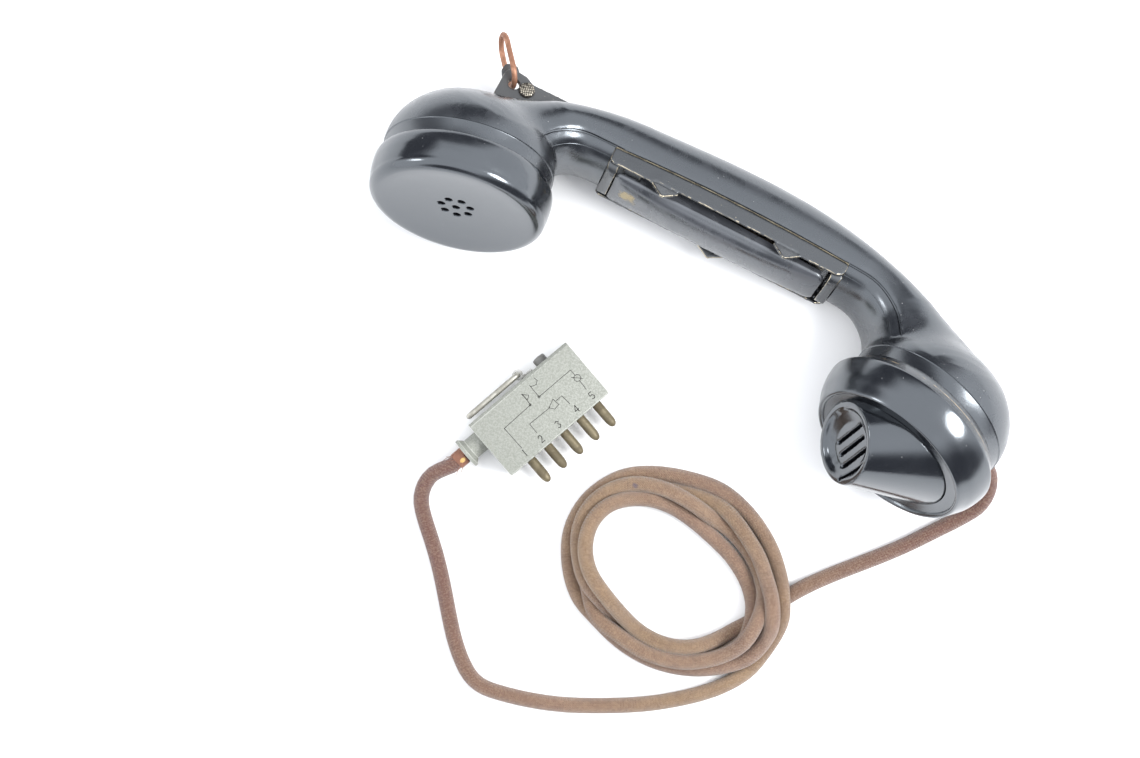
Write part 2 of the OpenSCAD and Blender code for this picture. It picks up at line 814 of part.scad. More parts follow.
module switch_screws() {
    color([0.5, 0.48, 0.42])
        for (side = [-1, 1])
            in_switch()
            translate([pack_x, side * frame_screw_y, 0.9 - eps])
            screw(pocket_h - 0.9 + pack_screw_len, 0.8);
}

// ---- Hanger's pieces ----
module hanger_plate(front, back, outline) {
    translate([0, back, 0])
        rotate([90, 0, 0])
        linear_extrude(height = back - front)
        difference() {
            polygon(outline);
            circle(r = rivet_r * 0.55 + run_gap);
            translate(ring_hole)
                circle(r = ring_hole_r);
        }
}

tang_right = tang_x + tang_len;
PLATE_FOOT = [[tang_right, 2.6], [tang_right, -tang_depth], [tang_x, -tang_depth], [tang_x, -8.4],
    [-9.1, -8.6]];

module hanger_bracket() {
    color([0.12, 0.11, 0.1])
        in_bracket() {
            hanger_plate(-plate_h, 0, concat(PLATE_FOOT,
                [[-9.8, 2.4], [-9, 4.2], [-7, 5], [-2.4, 4.8], [0.7, 3.4], [19.5, 4.8]]));
            hanger_plate(0, plate_h, concat(PLATE_FOOT,
                [[-9.8, 0.5], [-11.4, 3], [-11.2, 5.6], [-9.4, 7.2], [-7, 7], [-5, 5], [-2.4, 4.8],
                 [0.7, 3.4], [19.5, 4.8]]));
        }
}

module hanger_rivet() {
    color([0.45, 0.42, 0.38])
        in_bracket()
        rotate([90, 0, 0]) {
            cylinder(r = rivet_r * 0.55, h = 2 * plate_h + 0.2, center = true);
            for (side = [0, 1])
                mirror([0, 0, side])
                translate([0, 0, plate_h + 0.02])
                rotate_extrude()
                polygon([[0, 0], [rivet_r, 0], [rivet_r, 0.7], [rivet_r - 0.5, 1.2], [0, 1.3]]);
        }
}

ring_dir = 131;

module ring_bend() {
    rotate_extrude(angle = 180)
        translate([ring_half_w, 0])
        circle(r = ring_wire_r, $fn = 32);
}

module hanger_ring() {
    color([0.5, 0.28, 0.15])
        in_bracket()
        translate([ring_hole[0], 0, ring_hole[1]])
        rotate([0, -ring_dir, 0])
        translate([ring_half_w, 0, 0]) {
            rotate([0, 0, 90])
                ring_bend();
            translate([ring_side, 0, 0])
                rotate([0, 0, -90])
                ring_bend();
            for (side = [-1, 1])
                translate([-eps, side * ring_half_w, 0])
                rotate([0, 90, 0])
                cylinder(r = ring_wire_r, h = ring_side + 2 * eps, $fn = 32);
        }
}

// ---- Cord ----
// Route points on the table; the ends run straight through the bush and the gland.
LEAD_POINTS = [[121, 0.3, 8.5], [123, -4.7, 5], [123.5, -9.7, 3.4], [123, -14.7, 2.8],
    [118.5, -27.2, 2.8], [113.5, -36.2, 2.8], [108.5, -44.2, 2.8], [102.5, -52.2, 2.8],
    [96.5, -59.7, 2.8], [90.5, -67.2, 2.8], [84.5, -74.7, 2.8], [77, -83.7, 2.8]];
TAIL_POINTS = [[84.3, -96.5, 2.8], [84.2, -103, 2.8], [82.5, -110.7, 2.8], [78, -118.7, 2.8],
    [73, -124.7, 2.8], [65, -132.2, 2.8], [56, -139.2, 2.8],
    [44, -146.7, 2.8], [33, -152.7, 2.8], [22, -157.2, 2.8], [12, -160.2, 2.8], [5, -161.7, 2.8],
    [-1, -160.2, 2.8], [-10, -153.2, 2.8], [-17, -145.7, 2.8], [-23.5, -138.2, 2.8],
    [-30, -131.2, 2.8], [-36.5, -124.2, 2.8], [-43, -117.7, 3], [-47, -112.2, 3.6],
    [-48, -106.7, 4.6], [-45.5, -101.2, 5.8]];
coil_xy = [43.5, -92.2];
coil_h = 12;
CORD_SIDES = 10;

function unit(v) = v / norm(v);
function tube_ring(p, t) =
    let (side = unit(cross(t, [0, 0, 1])), up = cross(side, t))
    [for (i = [0:CORD_SIDES - 1])
        p + cord_d / 2 * (side * cos(i * 360 / CORD_SIDES) + up * sin(i * 360 / CORD_SIDES))];

module cord_tube(route) {
    last = len(route) - 1;
    loft([for (i = [0:last])
        tube_ring(route[i], unit(route[min(i + 1, last)] - route[max(i - 1, 0)]))]);
}

// A point on the bush's axis, carried from the bush's frame to the table's
function turn_x(p, a) = [p[0], p[1] * cos(a) - p[2] * sin(a), p[1] * sin(a) + p[2] * cos(a)];
function turn_y(p, a) = [p[0] * cos(a) + p[2] * sin(a), p[1], p[2] * cos(a) - p[0] * sin(a)];
function turn_z(p, a) = [p[0] * cos(a) - p[1] * sin(a), p[0] * sin(a) + p[1] * cos(a), p[2]];
function bush_point(h) =
    let (leaning = turn_y([0, 0, h], 90 + bush_tilt),
         in_cup = turn_z(leaning + [dome_r(bush_depth), 0, -bush_depth], bush_turn),
         in_set = turn_y(in_cup, 180 + mouth_tilt) + [cup_spacing, 0, mouth_rise])
    turn_y(turn_x(in_set, -90 - lean), -slope) + [handset_x, handset_y, handset_z];
function gland_point(h) = turn_z([h - plug_len / 2, gland_y, gland_z], plug_turn) + [plug_x, plug_y, 0];

module cord_bush() {
    color([0.05, 0.05, 0.06])
        in_bush()
        difference() {
            union() {
                translate([0, 0, 0.1 - bush_len])
                    cylinder(r = bush_r, h = bush_len);
                translate([0, 0, 0])
                    cylinder(r1 = bush_r, r2 = bush_r - 0.6, h = bush_proud);
            }
            translate([0, 0, -2 * bush_len])
                cylinder(r = cord_d / 2 + run_gap, h = 3 * bush_len);
        }
}

module cord_lead() {
    color([0.5, 0.38, 0.25])
        cord_tube(concat([bush_point(-bush_len), bush_point(bush_proud + 1)], LEAD_POINTS));
}

module cord_tail() {
    color([0.5, 0.38, 0.25])
        cord_tube(concat(TAIL_POINTS, [gland_point(-gland_len - 4.5), gland_point(3)]));
}

module cord_coil() {
    color([0.5, 0.38, 0.25])
        translate([coil_xy[0], coil_xy[1], 0.1])
        rotate_extrude()
        translate([coil_in_r, 0])
        polygon([for (c = [[coil_out_r - coil_in_r - 3, 3, -90], [coil_out_r - coil_in_r - 3, coil_h - 3, 0],
                           [3, coil_h - 3, 90], [3, 3, 180]], a = [0:22.5:90])
            [c[0] + 3 * cos(c[2] + a), c[1] + 3 * sin(c[2] + a)]]);
}

module cord_whipping() {
    color([0.75, 0.4, 0.15])
        in_gland()
        translate([0, 0, gland_len + 0.2])
        ring_washer(cord_d / 2 + 0.8, 0.8 - run_gap, 3.8);
}

// ---- Plug: origin in the middle of the box's bottom, +X away from the gland, pins towards -Y ----
plug_x = -26;
plug_y = -68;
plug_turn = 70.7;
box_h = plug_h - cover_h;
gland_y = 4.6;
gland_z = 6.5;
pin_z = 6;
pin_x = 1.3;
pin_tail = 9;
shank_r = pin_r - 0.3;
hook_x = 2;
hook_y = plug_w / 2 + 2.2;
clip_z = 7;
clip_half_h = 3.4;
clip_bend_r = 1.6;
hook_half_h = 1.7;
cover_screw_xy = [[18.2, 7.8], [-18.3, -7.8]];

module in_plug() {
    translate([plug_x, plug_y, 0])
        rotate([0, 0, plug_turn])
        children();
}

// Frame of the gland: origin on the box's end face, +Z out along the cord
module in_gland() {
    in_plug()
        translate([-plug_len / 2, gland_y, gland_z])
        rotate([0, -90, 0])
        children();
}

module plug_housing() {
    color([0.4, 0.42, 0.38])
        difference() {
            in_plug()
                difference() {
                    union() {
                        difference() {
                            translate([-plug_len / 2, -plug_w / 2, 0])
                                cube([plug_len, plug_w, box_h]);
                            translate([plug_wall - plug_len / 2, plug_wall - plug_w / 2, plug_wall])
                                cube([plug_len - 2 * plug_wall, plug_w - 2 * plug_wall, box_h]);
                        }
                        for (p = cover_screw_xy)
                            translate([p[0], p[1], 0.5])
                            cylinder(r = 2.6, h = box_h - 0.5);
                    }
                    for (i = [0:pin_count - 1])
                        translate([pin_x + (i - (pin_count - 1) / 2) * pin_pitch, 0, pin_z])
                        across(shank_r + run_gap, -plug_w, 3 - plug_w / 2);
                    for (p = cover_screw_xy)
                        translate([p[0], p[1], -1]) {
                            cylinder(r = screw_r + run_gap, h = plug_h);
                            cylinder(r = screw_head_r + 0.1, h = 2);
                        }
                }
            in_gland()
                translate([0, 0, -3])
                cylinder(r = gland_r - 1.7 + run_gap, h = 6);
        }
}

module plug_cover() {
    color([0.5, 0.52, 0.48])
        in_plug()
        translate([0, 0, box_h + 0.05])
        difference() {
            translate([plug_len / 2, 0, 0])
                rotate([90, 0, -90])
                linear_extrude(height = plug_len)
                polygon([[-plug_w / 2, 0], [plug_w / 2, 0], [plug_w / 2, 0.9], [plug_w / 2 - 1.1, cover_h],
                         [-plug_w / 2 + 0.3, cover_h], [-plug_w / 2, cover_h - 0.3]]);
            for (p = cover_screw_xy)
                translate([p[0], p[1], -1])
                cylinder(r = screw_r + run_gap, h = 2.1);
            // Engraved wiring lines
            for (x = [-15, -8, 6, 13])
                translate([x, -5, cover_h - 0.15])
                cube([0.4, 9, 1]);
            for (y = [-5, 3.6])
                translate([-15, y, cover_h - 0.15])
                cube([28.4, 0.4, 1]);
        }
}

module plug_insulator() {
    color([0.3, 0.16, 0.1])
        in_plug()
        difference() {
            translate([pin_x - 18.4 + 0.6, plug_wall + 0.1 - plug_w / 2, plug_wall + 0.2])
                cube([33.6, 5.5, box_h - plug_wall - 0.4]);
            for (i = [0:pin_count - 1])
                translate([pin_x + (i - (pin_count - 1) / 2) * pin_pitch, 0, pin_z])
                across(shank_r + run_gap, -plug_w, plug_w);
            for (p = cover_screw_xy)
                translate([p[0], p[1], 0])
                cylinder(r = 2.8, h = plug_h);
        }
}

module plug_pins() {
    color([0.6, 0.52, 0.3])
        for (i = [0:pin_count - 1])
            in_plug()
            translate([pin_x + (i - (pin_count - 1) / 2) * pin_pitch, pin_tail - plug_w / 2, pin_z])
            rotate([90, 0, 0])
            rotate_extrude($fn = 48)
            polygon(concat([[0, 0], [shank_r, 0], [shank_r, pin_tail + 0.05], [pin_r, pin_tail + 0.05],
                            [pin_r, pin_tail + pin_len - 2.4]],
                [for (a = [15:15:75]) [pin_r * cos(a), pin_tail + pin_len - 2.4 + 2.4 * sin(a)]],
                [[0, pin_tail + pin_len]]));
}

module plug_gland() {
    color([0.35, 0.36, 0.33])
        in_gland()
        difference() {
            union() {
                translate([0, 0, -2.6])
                    cylinder(r = gland_r - 1.7, h = gland_len + 2);
                translate([0, 0, -3.2])
                    cylinder(r = gland_r - 0.7, h = 3.2 - plug_wall - 0.05);
                translate([0, 0, gland_len - 2.6])
                    cylinder(r1 = gland_r - 1.7, r2 = gland_r - 0.3, h = 1.4);
                translate([0, 0, gland_len - 1.2])
                    cylinder(r = gland_r, h = 1.2);
            }
            translate([0, 0, -5])
                cylinder(r = cord_d / 2 + run_gap, h = gland_len + 10);
        }
}

// Closed wire loop, hinged on its short side
module plug_clip() {
    half_l = clip_len / 2;
    color([0.55, 0.53, 0.48])
        in_plug()
        translate([hook_x - half_l, hook_y, clip_z])
        rotate([90, 0, 0])
        for (turn = [0:90:270])
            rotate([0, 0, turn]) {
                reach = turn % 180 == 0 ? [half_l, clip_half_h] : [clip_half_h, half_l];
                translate([reach[0] - clip_bend_r, reach[1] - clip_bend_r, 0])
                    rotate_extrude(angle = 90)
                    translate([clip_bend_r, 0])
                    circle(r = clip_wire_r, $fn = 32);
                translate([reach[0], 0, 0])
                    rotate([90, 0, 0])
                    cylinder(r = clip_wire_r, h = 2 * (reach[1] - clip_bend_r + eps), center = true,
                             $fn = 32);
            }
}

module plug_clip_hook() {
    color([0.45, 0.45, 0.42])
        in_plug()
        translate([hook_x, hook_y, clip_z - hook_half_h])
        difference() {
            union() {
                cylinder(r = clip_wire_r + 0.9, h = 2 * hook_half_h);
                translate([0, plug_w / 2 - hook_y + 0.05, 0])
                    cube([5, 0.9, 2 * hook_half_h]);
            }
            translate([0, 0, -1])
                cylinder(r = clip_wire_r + run_gap, h = 2 * hook_half_h + 2);
        }
}

module plug_stud() {
    color([0.12, 0.12, 0.12])
        in_plug()
        translate([11.2, 0, clip_z])
        across(2.4, plug_w / 2 + 0.05, plug_w / 2 + 2.6);
}

module plug_screws() {
    color([0.5, 0.5, 0.48])
        for (p = cover_screw_xy)
            in_plug()
            translate([p[0], p[1], 1 - eps])
            screw(box_h, 0.8);
}

handset_body();
ear_cap();
ear_gasket();
receiver_capsule();
receiver_diaphragm();
receiver_contacts();
mouth_ring();
mouth_horn();
mouth_gasket();
microphone_capsule();
microphone_contacts();
switch_frame();
switch_frame_screws();
talk_bar();
talk_bar_stud();
talk_bar_pin();
talk_bar_spring();
switch_insulator();
switch_contact_springs();
switch_screws();
hanger_bracket();
hanger_rivet();
hanger_ring();
cord_bush();
cord_lead();
cord_coil();
cord_tail();
cord_whipping();
plug_housing();
plug_cover();
plug_insulator();
plug_pins();
plug_gland();
plug_clip();
plug_clip_hook();
plug_stud();
plug_screws();
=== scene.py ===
"""Looks of a field telephone handset, its cord and its five-pin plug."""
import json
from math import atan2, cos, degrees, pi, radians, sin, sqrt, tan

import bmesh
import bpy
import numpy as np
from mathutils import Matrix, Vector
from mathutils.bvhtree import BVHTree

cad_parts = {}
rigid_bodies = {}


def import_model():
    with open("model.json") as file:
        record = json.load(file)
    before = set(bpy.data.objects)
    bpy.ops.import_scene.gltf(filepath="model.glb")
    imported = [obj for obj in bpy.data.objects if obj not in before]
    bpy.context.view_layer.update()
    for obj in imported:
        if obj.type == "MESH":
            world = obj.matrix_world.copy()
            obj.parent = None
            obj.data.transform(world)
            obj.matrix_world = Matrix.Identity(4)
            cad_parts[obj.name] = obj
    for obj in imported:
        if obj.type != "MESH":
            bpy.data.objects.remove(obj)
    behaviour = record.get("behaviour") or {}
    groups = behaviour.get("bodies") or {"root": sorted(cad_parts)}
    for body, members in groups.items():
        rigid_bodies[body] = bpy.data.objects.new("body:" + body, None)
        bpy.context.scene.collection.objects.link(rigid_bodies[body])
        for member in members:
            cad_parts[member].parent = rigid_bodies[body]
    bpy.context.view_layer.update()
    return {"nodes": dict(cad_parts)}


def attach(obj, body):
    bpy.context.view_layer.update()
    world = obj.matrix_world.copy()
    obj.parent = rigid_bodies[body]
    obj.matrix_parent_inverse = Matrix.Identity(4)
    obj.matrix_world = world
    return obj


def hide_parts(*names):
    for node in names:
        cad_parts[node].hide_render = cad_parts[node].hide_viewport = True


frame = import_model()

for spare in [o for o in bpy.data.objects if o.name in ("Cube", "Light", "Camera")]:
    bpy.data.objects.remove(spare)
scene = bpy.context.scene
MM = 0.001


# ---- Frames of the pieces, in millimetres ----
def move(x, y, z):
    return Matrix.Translation((x, y, z))


def turn(axis, angle):
    return Matrix.Rotation(radians(angle), 4, axis)


RIM_R, BAND_H, DOME_DEPTH = 29.4, 5.4, 23.3
MOUTH_X, MOUTH_Z = 173.5, 5
BUSH_DEPTH = 13
BUSH_OUT = RIM_R * sqrt(1 - ((BUSH_DEPTH - BAND_H) / DOME_DEPTH) ** 2)
HANDSET = move(-87.3, -11.6, 30.6) @ turn("Y", -0.7) @ turn("X", -114)
EAR = HANDSET @ move(0.5, 0, -1) @ turn("Y", 165)
MOUTH = HANDSET @ move(MOUTH_X, 0, MOUTH_Z) @ turn("Y", 192.5)
HORN = MOUTH @ turn("Z", -15)
OPENING = move(13.9, 0, 26.2) @ turn("Y", 42)
SWITCH = HANDSET @ move(39.5, 0, 30.4) @ turn("Y", -3.9)
BRACKET = HANDSET @ move(2.8, 0, 38.6)
RING = BRACKET @ move(-4.9, 0, -0.1) @ turn("Y", -131) @ move(5, 0, 0)
BUSH = MOUTH @ turn("Z", 145) @ move(BUSH_OUT, 0, -BUSH_DEPTH) @ turn("Y", 110)
PLUG = move(-26, -68, 0) @ turn("Z", 70.7)
GLAND = PLUG @ move(-22, 4.6, 6.5) @ turn("Y", -90)
TABLE = Matrix.Identity(4)


# ---- Camera ----
def show(obj):
    scene.collection.objects.link(obj)


SENSOR, FOCAL_PIXELS, PICTURE_WIDTH = 36, 2489.2, 1140
camera_data = bpy.data.cameras.new("camera")
camera_data.sensor_width = SENSOR
camera_data.lens = SENSOR * FOCAL_PIXELS / PICTURE_WIDTH
camera_data.clip_start = 0.05
camera = bpy.data.objects.new("camera", camera_data)
camera.location = (-0.0219, -0.0537, 0.8677)
camera.rotation_euler = (0, 0, radians(30.2))
show(camera)
scene.camera = camera


# ---- Making meshes ----
def only_verts(geom):
    return [g for g in geom if isinstance(g, bmesh.types.BMVert)]


def face_outward(bm):
    bmesh.ops.recalc_face_normals(bm, faces=bm.faces)


def around(count):
    """Evenly spaced angles of one turn."""
    return [2 * pi * k / count for k in range(count)]


def arc(x, y, radius, start, end, count):
    angles = [radians(start + (end - start) * k / count) for k in range(count + 1)]
    return [(x + radius * cos(a), y + radius * sin(a)) for a in angles]


def ring_edges(ring):
    """The edges round a closed ring of vertices."""
    return [next(e for e in here.link_edges if e.other_vert(here) is there)
            for here, there in zip(ring, ring[1:] + ring[:1])]


def loft(bm, rings, closed=False):
    """Extrudes a circle through rings of points, and caps it or joins its ends."""
    made = []
    for ring in rings:
        if made:
            fresh = bmesh.ops.extrude_edge_only(bm, edges=ring_edges(made[-1]))["geom"]
            fresh = set(only_verts(fresh))
            verts = [next(o for o in (e.other_vert(v) for e in v.link_edges) if o in fresh)
                     for v in made[-1]]
        else:
            verts = bmesh.ops.create_circle(bm, segments=len(ring), radius=1)["verts"]
        for vert, point in zip(verts, ring):
            vert.co = point
        made.append(verts)
    if closed:
        bmesh.ops.bridge_loops(bm, edges=ring_edges(made[0]) + ring_edges(made[-1]))
    else:
        for ring in (made[0], made[-1]):
            bmesh.ops.contextual_create(bm, geom=ring_edges(ring))
    face_outward(bm)
    return made


def tube_rings(path, radius, sides, closed=False):
    """Rings of points square to a path, without twist. radius is a number or one for each point."""
    path = [Vector(p) for p in path]
    last = len(path) - 1
    radii = radius if hasattr(radius, "__len__") else [radius] * len(path)
    rings, side, before = [], None, None
    for i, point in enumerate(path):
        if closed:
            along = path[(i + 1) % len(path)] - path[i - 1]
        else:
            along = path[min(i + 1, last)] - path[max(i - 1, 0)]
        along.normalize()
        if side is None:
            side = along.orthogonal().normalized()
        else:
            side.rotate(before.rotation_difference(along))
        before = along
        up = along.cross(side)
        rings.append([point + radii[i] * (side * cos(a) + up * sin(a)) for a in around(sides)])
    return rings


def swept(path, radius, sides, closed=False):
    """A tube along a path, with U the way along it in metres and V the way round."""
    bm = bmesh.new()
    rings = loft(bm, tube_rings(path, radius, sides, closed), closed)
    lengths = [(Vector(b) - Vector(a)).length for a, b in zip(path, path[1:])]
    run = np.concatenate([[0], np.cumsum(lengths)]) * MM
    where = {v: (i, k) for i, ring in enumerate(rings) for k, v in enumerate(ring)}
    uv = bm.loops.layers.uv.new("run")
    for face in bm.faces:
        spots = [where[loop.vert] for loop in face.loops]
        wraps = {k for _, k in spots} >= {0, sides - 1} and len(spots) == 4
        for loop, (i, k) in zip(face.loops, spots):
            loop[uv].uv = (run[i], (k + sides if wraps and k == 0 else k) / sides)
    return bm


def smooth_outline(points, steps=6):
    """A Catmull-Rom line through points."""
    line = []
    for i in range(len(points) - 1):
        a, b, c, d = (np.array(points[min(max(i + k, 0), len(points) - 1)]) for k in (-1, 0, 1, 2))
        for t in np.arange(steps) / steps:
            line.append(0.5 * (2 * b + (c - a) * t + (2 * a - 5 * b + 4 * c - d) * t ** 2
                               + (3 * b - a - 3 * c + d) * t ** 3))
    line.append(np.array(points[-1]))
    return line


def turned(outline, steps=128):
    """An outline of (radius, height) turned round Z."""
    bm = bmesh.new()
    verts = [bm.verts.new((r, 0, z)) for r, z in outline]
    edges = [bm.edges.new(pair) for pair in zip(verts, verts[1:])]
    bmesh.ops.spin(bm, geom=verts + edges, cent=(0, 0, 0), axis=(0, 0, 1), dvec=(0, 0, 0),
                   angle=2 * pi, steps=steps, use_merge=True, use_duplicate=False)
    bmesh.ops.remove_doubles(bm, verts=bm.verts, dist=1e-5)
    face_outward(bm)
    return bm


def drawn_out(outline, way):
    """A flat closed outline drawn out into a solid."""
    bm = bmesh.new()
    face = bm.faces.new([bm.verts.new(point) for point in outline])
    made = bmesh.ops.extrude_face_region(bm, geom=[face])["geom"]
    bmesh.ops.translate(bm, verts=only_verts(made), vec=way)
    face_outward(bm)
    return bm


def block(low, high):
    """A box between two corners."""
    bm = bmesh.new()
    bmesh.ops.create_cube(bm, size=1)
    size = Vector(high) - Vector(low)
    bm.transform(Matrix.Translation(Vector(low) + size / 2) @ Matrix.Diagonal((*size, 1)))
    return bm


def rod(radius, low, high, segments=48, far_radius=None):
    """A round bar along Z."""
    bm = bmesh.new()
    bmesh.ops.create_cone(bm, cap_ends=True, segments=segments, radius1=radius,
                          radius2=radius if far_radius is None else far_radius, depth=high - low)
    bm.transform(move(0, 0, (low + high) / 2))
    return bm


def hull(points):
    """The solid stretched round a set of points."""
    bm = bmesh.new()
    for point in points:
        bm.verts.new(point)
    made = bmesh.ops.convex_hull(bm, input=bm.verts)
    bmesh.ops.delete(bm, geom=only_verts(made["geom_interior"]), context="VERTS")
    face_outward(bm)
    return bm


def placed(bm, place):
    bm.transform(place)
    return bm


def join(bm, parts):
    """Adds whole meshes to one and frees them."""
    for part in parts:
        spare = bpy.data.meshes.new("spare")
        part.to_mesh(spare)
        part.free()
        bm.from_mesh(spare)
        bpy.data.meshes.remove(spare)
    return bm


def round_edges(bm, width, angle=28):
    """Bevels every edge sharper than an angle and marks it as worn."""
    wear = bm.faces.layers.float.new("wear")
    sharp = [e for e in bm.edges
             if len(e.link_faces) == 2 and e.calc_face_angle(0) > radians(angle)]
    made = bmesh.ops.bevel(bm, geom=sharp, offset=width, offset_type="OFFSET", affect="EDGES",
                           segments=2, profile=0.5, material=-1, clamp_overlap=True)
    for face in made["faces"]:
        face[wear] = 1.0
    return bm


def raw(name, bm):
    """An object of a mesh that is still to be worked on."""
    mesh = bpy.data.meshes.new(name)
    bm.to_mesh(mesh)
    bm.free()
    obj = bpy.data.objects.new(name, mesh)
    show(obj)
    return obj


def modified(obj, kind, **settings):
    """Applies one modifier to an object's mesh."""
    work = obj.modifiers.new("work", kind)
    for key, value in settings.items():
        setattr(work, key, value)
    view = bpy.context.evaluated_depsgraph_get()
    mesh = bpy.data.meshes.new_from_object(obj.evaluated_get(view))
    obj.modifiers.clear()
    old = obj.data
    obj.data = mesh
    bpy.data.meshes.remove(old)


def remesh(obj, size):
    modified(obj, "REMESH", mode="VOXEL", voxel_size=size)


def cut(obj, bm, place=None, operation="DIFFERENCE", solver="EXACT"):
    """Cuts one solid by another, or joins it on."""
    if place is not None:
        bm.transform(place)
    tool = raw("tool", bm)
    modified(obj, "BOOLEAN", operation=operation, solver=solver, object=tool)
    bpy.data.objects.remove(tool)


def soften(obj, rounds, chosen=None):
    """Smooths a mesh, all of it or the vertices at the chosen indices."""
    bm = bmesh.new()
    bm.from_mesh(obj.data)
    bm.verts.ensure_lookup_table()
    verts = list(bm.verts) if chosen is None else [bm.verts[i] for i in chosen]
    for _ in range(rounds):
        bmesh.ops.smooth_vert(bm, verts=verts, factor=0.5, use_axis_x=True, use_axis_y=True,
                              use_axis_z=True)
    bm.to_mesh(obj.data)
    bm.free()


def finish(obj, place, material, nodes=(), angle=32, body="handset"):
    """Puts a piece made in millimetres in its place, gives it its material, hangs it on its body
    and hides the nodes it stands for.
    """
    obj.data.transform(Matrix.Scale(MM, 4) @ place)
    obj.data.materials.clear()
    obj.data.materials.append(material)
    obj.data.shade_smooth()
    if angle:
        obj.data.set_sharp_from_angle(angle=radians(angle))
    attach(obj, body)
    if nodes:
        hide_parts(*nodes)
    return obj


# ---- The cord: from the mouth cup to the coil, round it and on to the plug ----
CORD_R = 2.7
LEAST_BEND = 15
BUSH_LEN, GLAND_LEN = 9, 7.5
TABLE_SKIN = 0.05


def route(*points):
    """Points given in tenths of a millimetre. One without a height lies on the table."""
    return [tuple(v / 10 for v in (*point, 28)[:3]) for point in points]


LEAD = route(
    (1172, -76, 95), (1203, -97, 75), (1224, -128, 59), (1234, -164, 46), (1231, -202, 37),
    (1216, -238, 31), (1184, -292), (1135, -365), (1085, -442), (1025, -522), (965, -597),
    (905, -672), (845, -756))
LAPS = route(
    # First time round
    (796, -843), (772, -887), (753, -937), (727, -983), (696, -1035), (672, -1071), (642, -1107),
    (602, -1142), (558, -1165), (508, -1176), (458, -1177, 32), (402, -1169, 40), (346, -1152, 55),
    (295, -1134, 70), (247, -1115, 85), (199, -1095, 100), (156, -1066, 110), (119, -1021, 115),
    (100, -978, 105), (90, -933, 85), (94, -886, 60), (109, -842, 40), (138, -805), (180, -774),
    (228, -751), (280, -741), (331, -740), (388, -744), (445, -754), (506, -767), (563, -781),
    (619, -805, 32), (670, -833, 46), (707, -862, 68),
    # Second
    (737, -897, 82), (763, -943, 70), (773, -995, 42), (763, -1040), (737, -1080), (696, -1119),
    (643, -1155), (587, -1179), (525, -1194), (462, -1200, 30), (400, -1197, 36), (339, -1186, 44),
    (279, -1170, 52), (226, -1147, 60), (178, -1117, 68), (138, -1080, 74), (102, -1034, 78),
    (72, -984, 82), (60, -945, 86), (57, -896, 88), (67, -851, 88), (86, -809, 88), (116, -770, 88),
    (157, -738, 88), (209, -712, 86), (267, -697, 82), (326, -694, 74), (387, -695, 60),
    (449, -697, 44), (508, -704, 30), (564, -719), (616, -740), (664, -771, 32), (706, -805, 48),
    # Third
    (739, -843, 70), (759, -890, 84), (768, -937, 96), (763, -999, 94), (743, -1064, 84),
    (700, -1120, 82), (640, -1168, 82), (567, -1200, 82), (486, -1221, 78), (420, -1223, 68),
    (359, -1214, 56), (298, -1196, 44), (244, -1172, 34), (198, -1139), (160, -1098), (126, -1051),
    (98, -1000), (84, -948), (84, -897), (96, -848), (119, -801), (152, -759), (194, -728),
    (247, -704), (297, -686), (346, -673), (400, -657, 36), (463, -658, 56), (520, -673, 76),
    (587, -704, 84), (655, -740, 84), (707, -786, 94),
    # Fourth
    (749, -830, 120), (778, -874, 132), (805, -920, 114), (819, -969, 80), (815, -1022, 50),
    (800, -1068, 34), (768, -1105), (710, -1147), (648, -1186), (583, -1213), (513, -1231),
    (442, -1235), (371, -1229), (303, -1215), (238, -1190), (186, -1163), (139, -1130),
    (103, -1091), (78, -1051), (55, -1005), (44, -957), (42, -905), (52, -852), (70, -803),
    (97, -758), (135, -719), (183, -686), (234, -659, 34), (288, -637, 44), (345, -622, 50),
    (407, -613, 50), (467, -613, 44), (527, -622, 34), (586, -642), (642, -670), (696, -705, 30),
    (744, -750, 46), (780, -793, 70))
TAIL = route(
    (814, -836, 82), (836, -884, 64), (846, -936, 40), (843, -988), (836, -1045), (825, -1107),
    (780, -1187), (730, -1247), (650, -1322), (560, -1392), (440, -1467), (330, -1527),
    (220, -1572), (120, -1602), (50, -1617), (-10, -1602), (-100, -1532), (-170, -1457),
    (-235, -1382), (-300, -1312), (-360, -1256), (-414, -1209), (-454, -1165, 30),
    (-468, -1135, 34), (-473, -1103, 42), (-465, -1062, 52), (-442, -1027, 60), (-427, -1009, 64))


def even_line(points, pitch):
    """Points a fixed distance apart on a smooth line through the given ones."""
    fine = np.array(smooth_outline(points, 12))
    run = np.concatenate([[0], np.cumsum(np.linalg.norm(np.diff(fine, axis=0), axis=1))])
    at = np.linspace(0, run[-1], int(run[-1] / pitch) + 1)
    return np.stack([np.interp(at, run, fine[:, k]) for k in range(3)], axis=1)


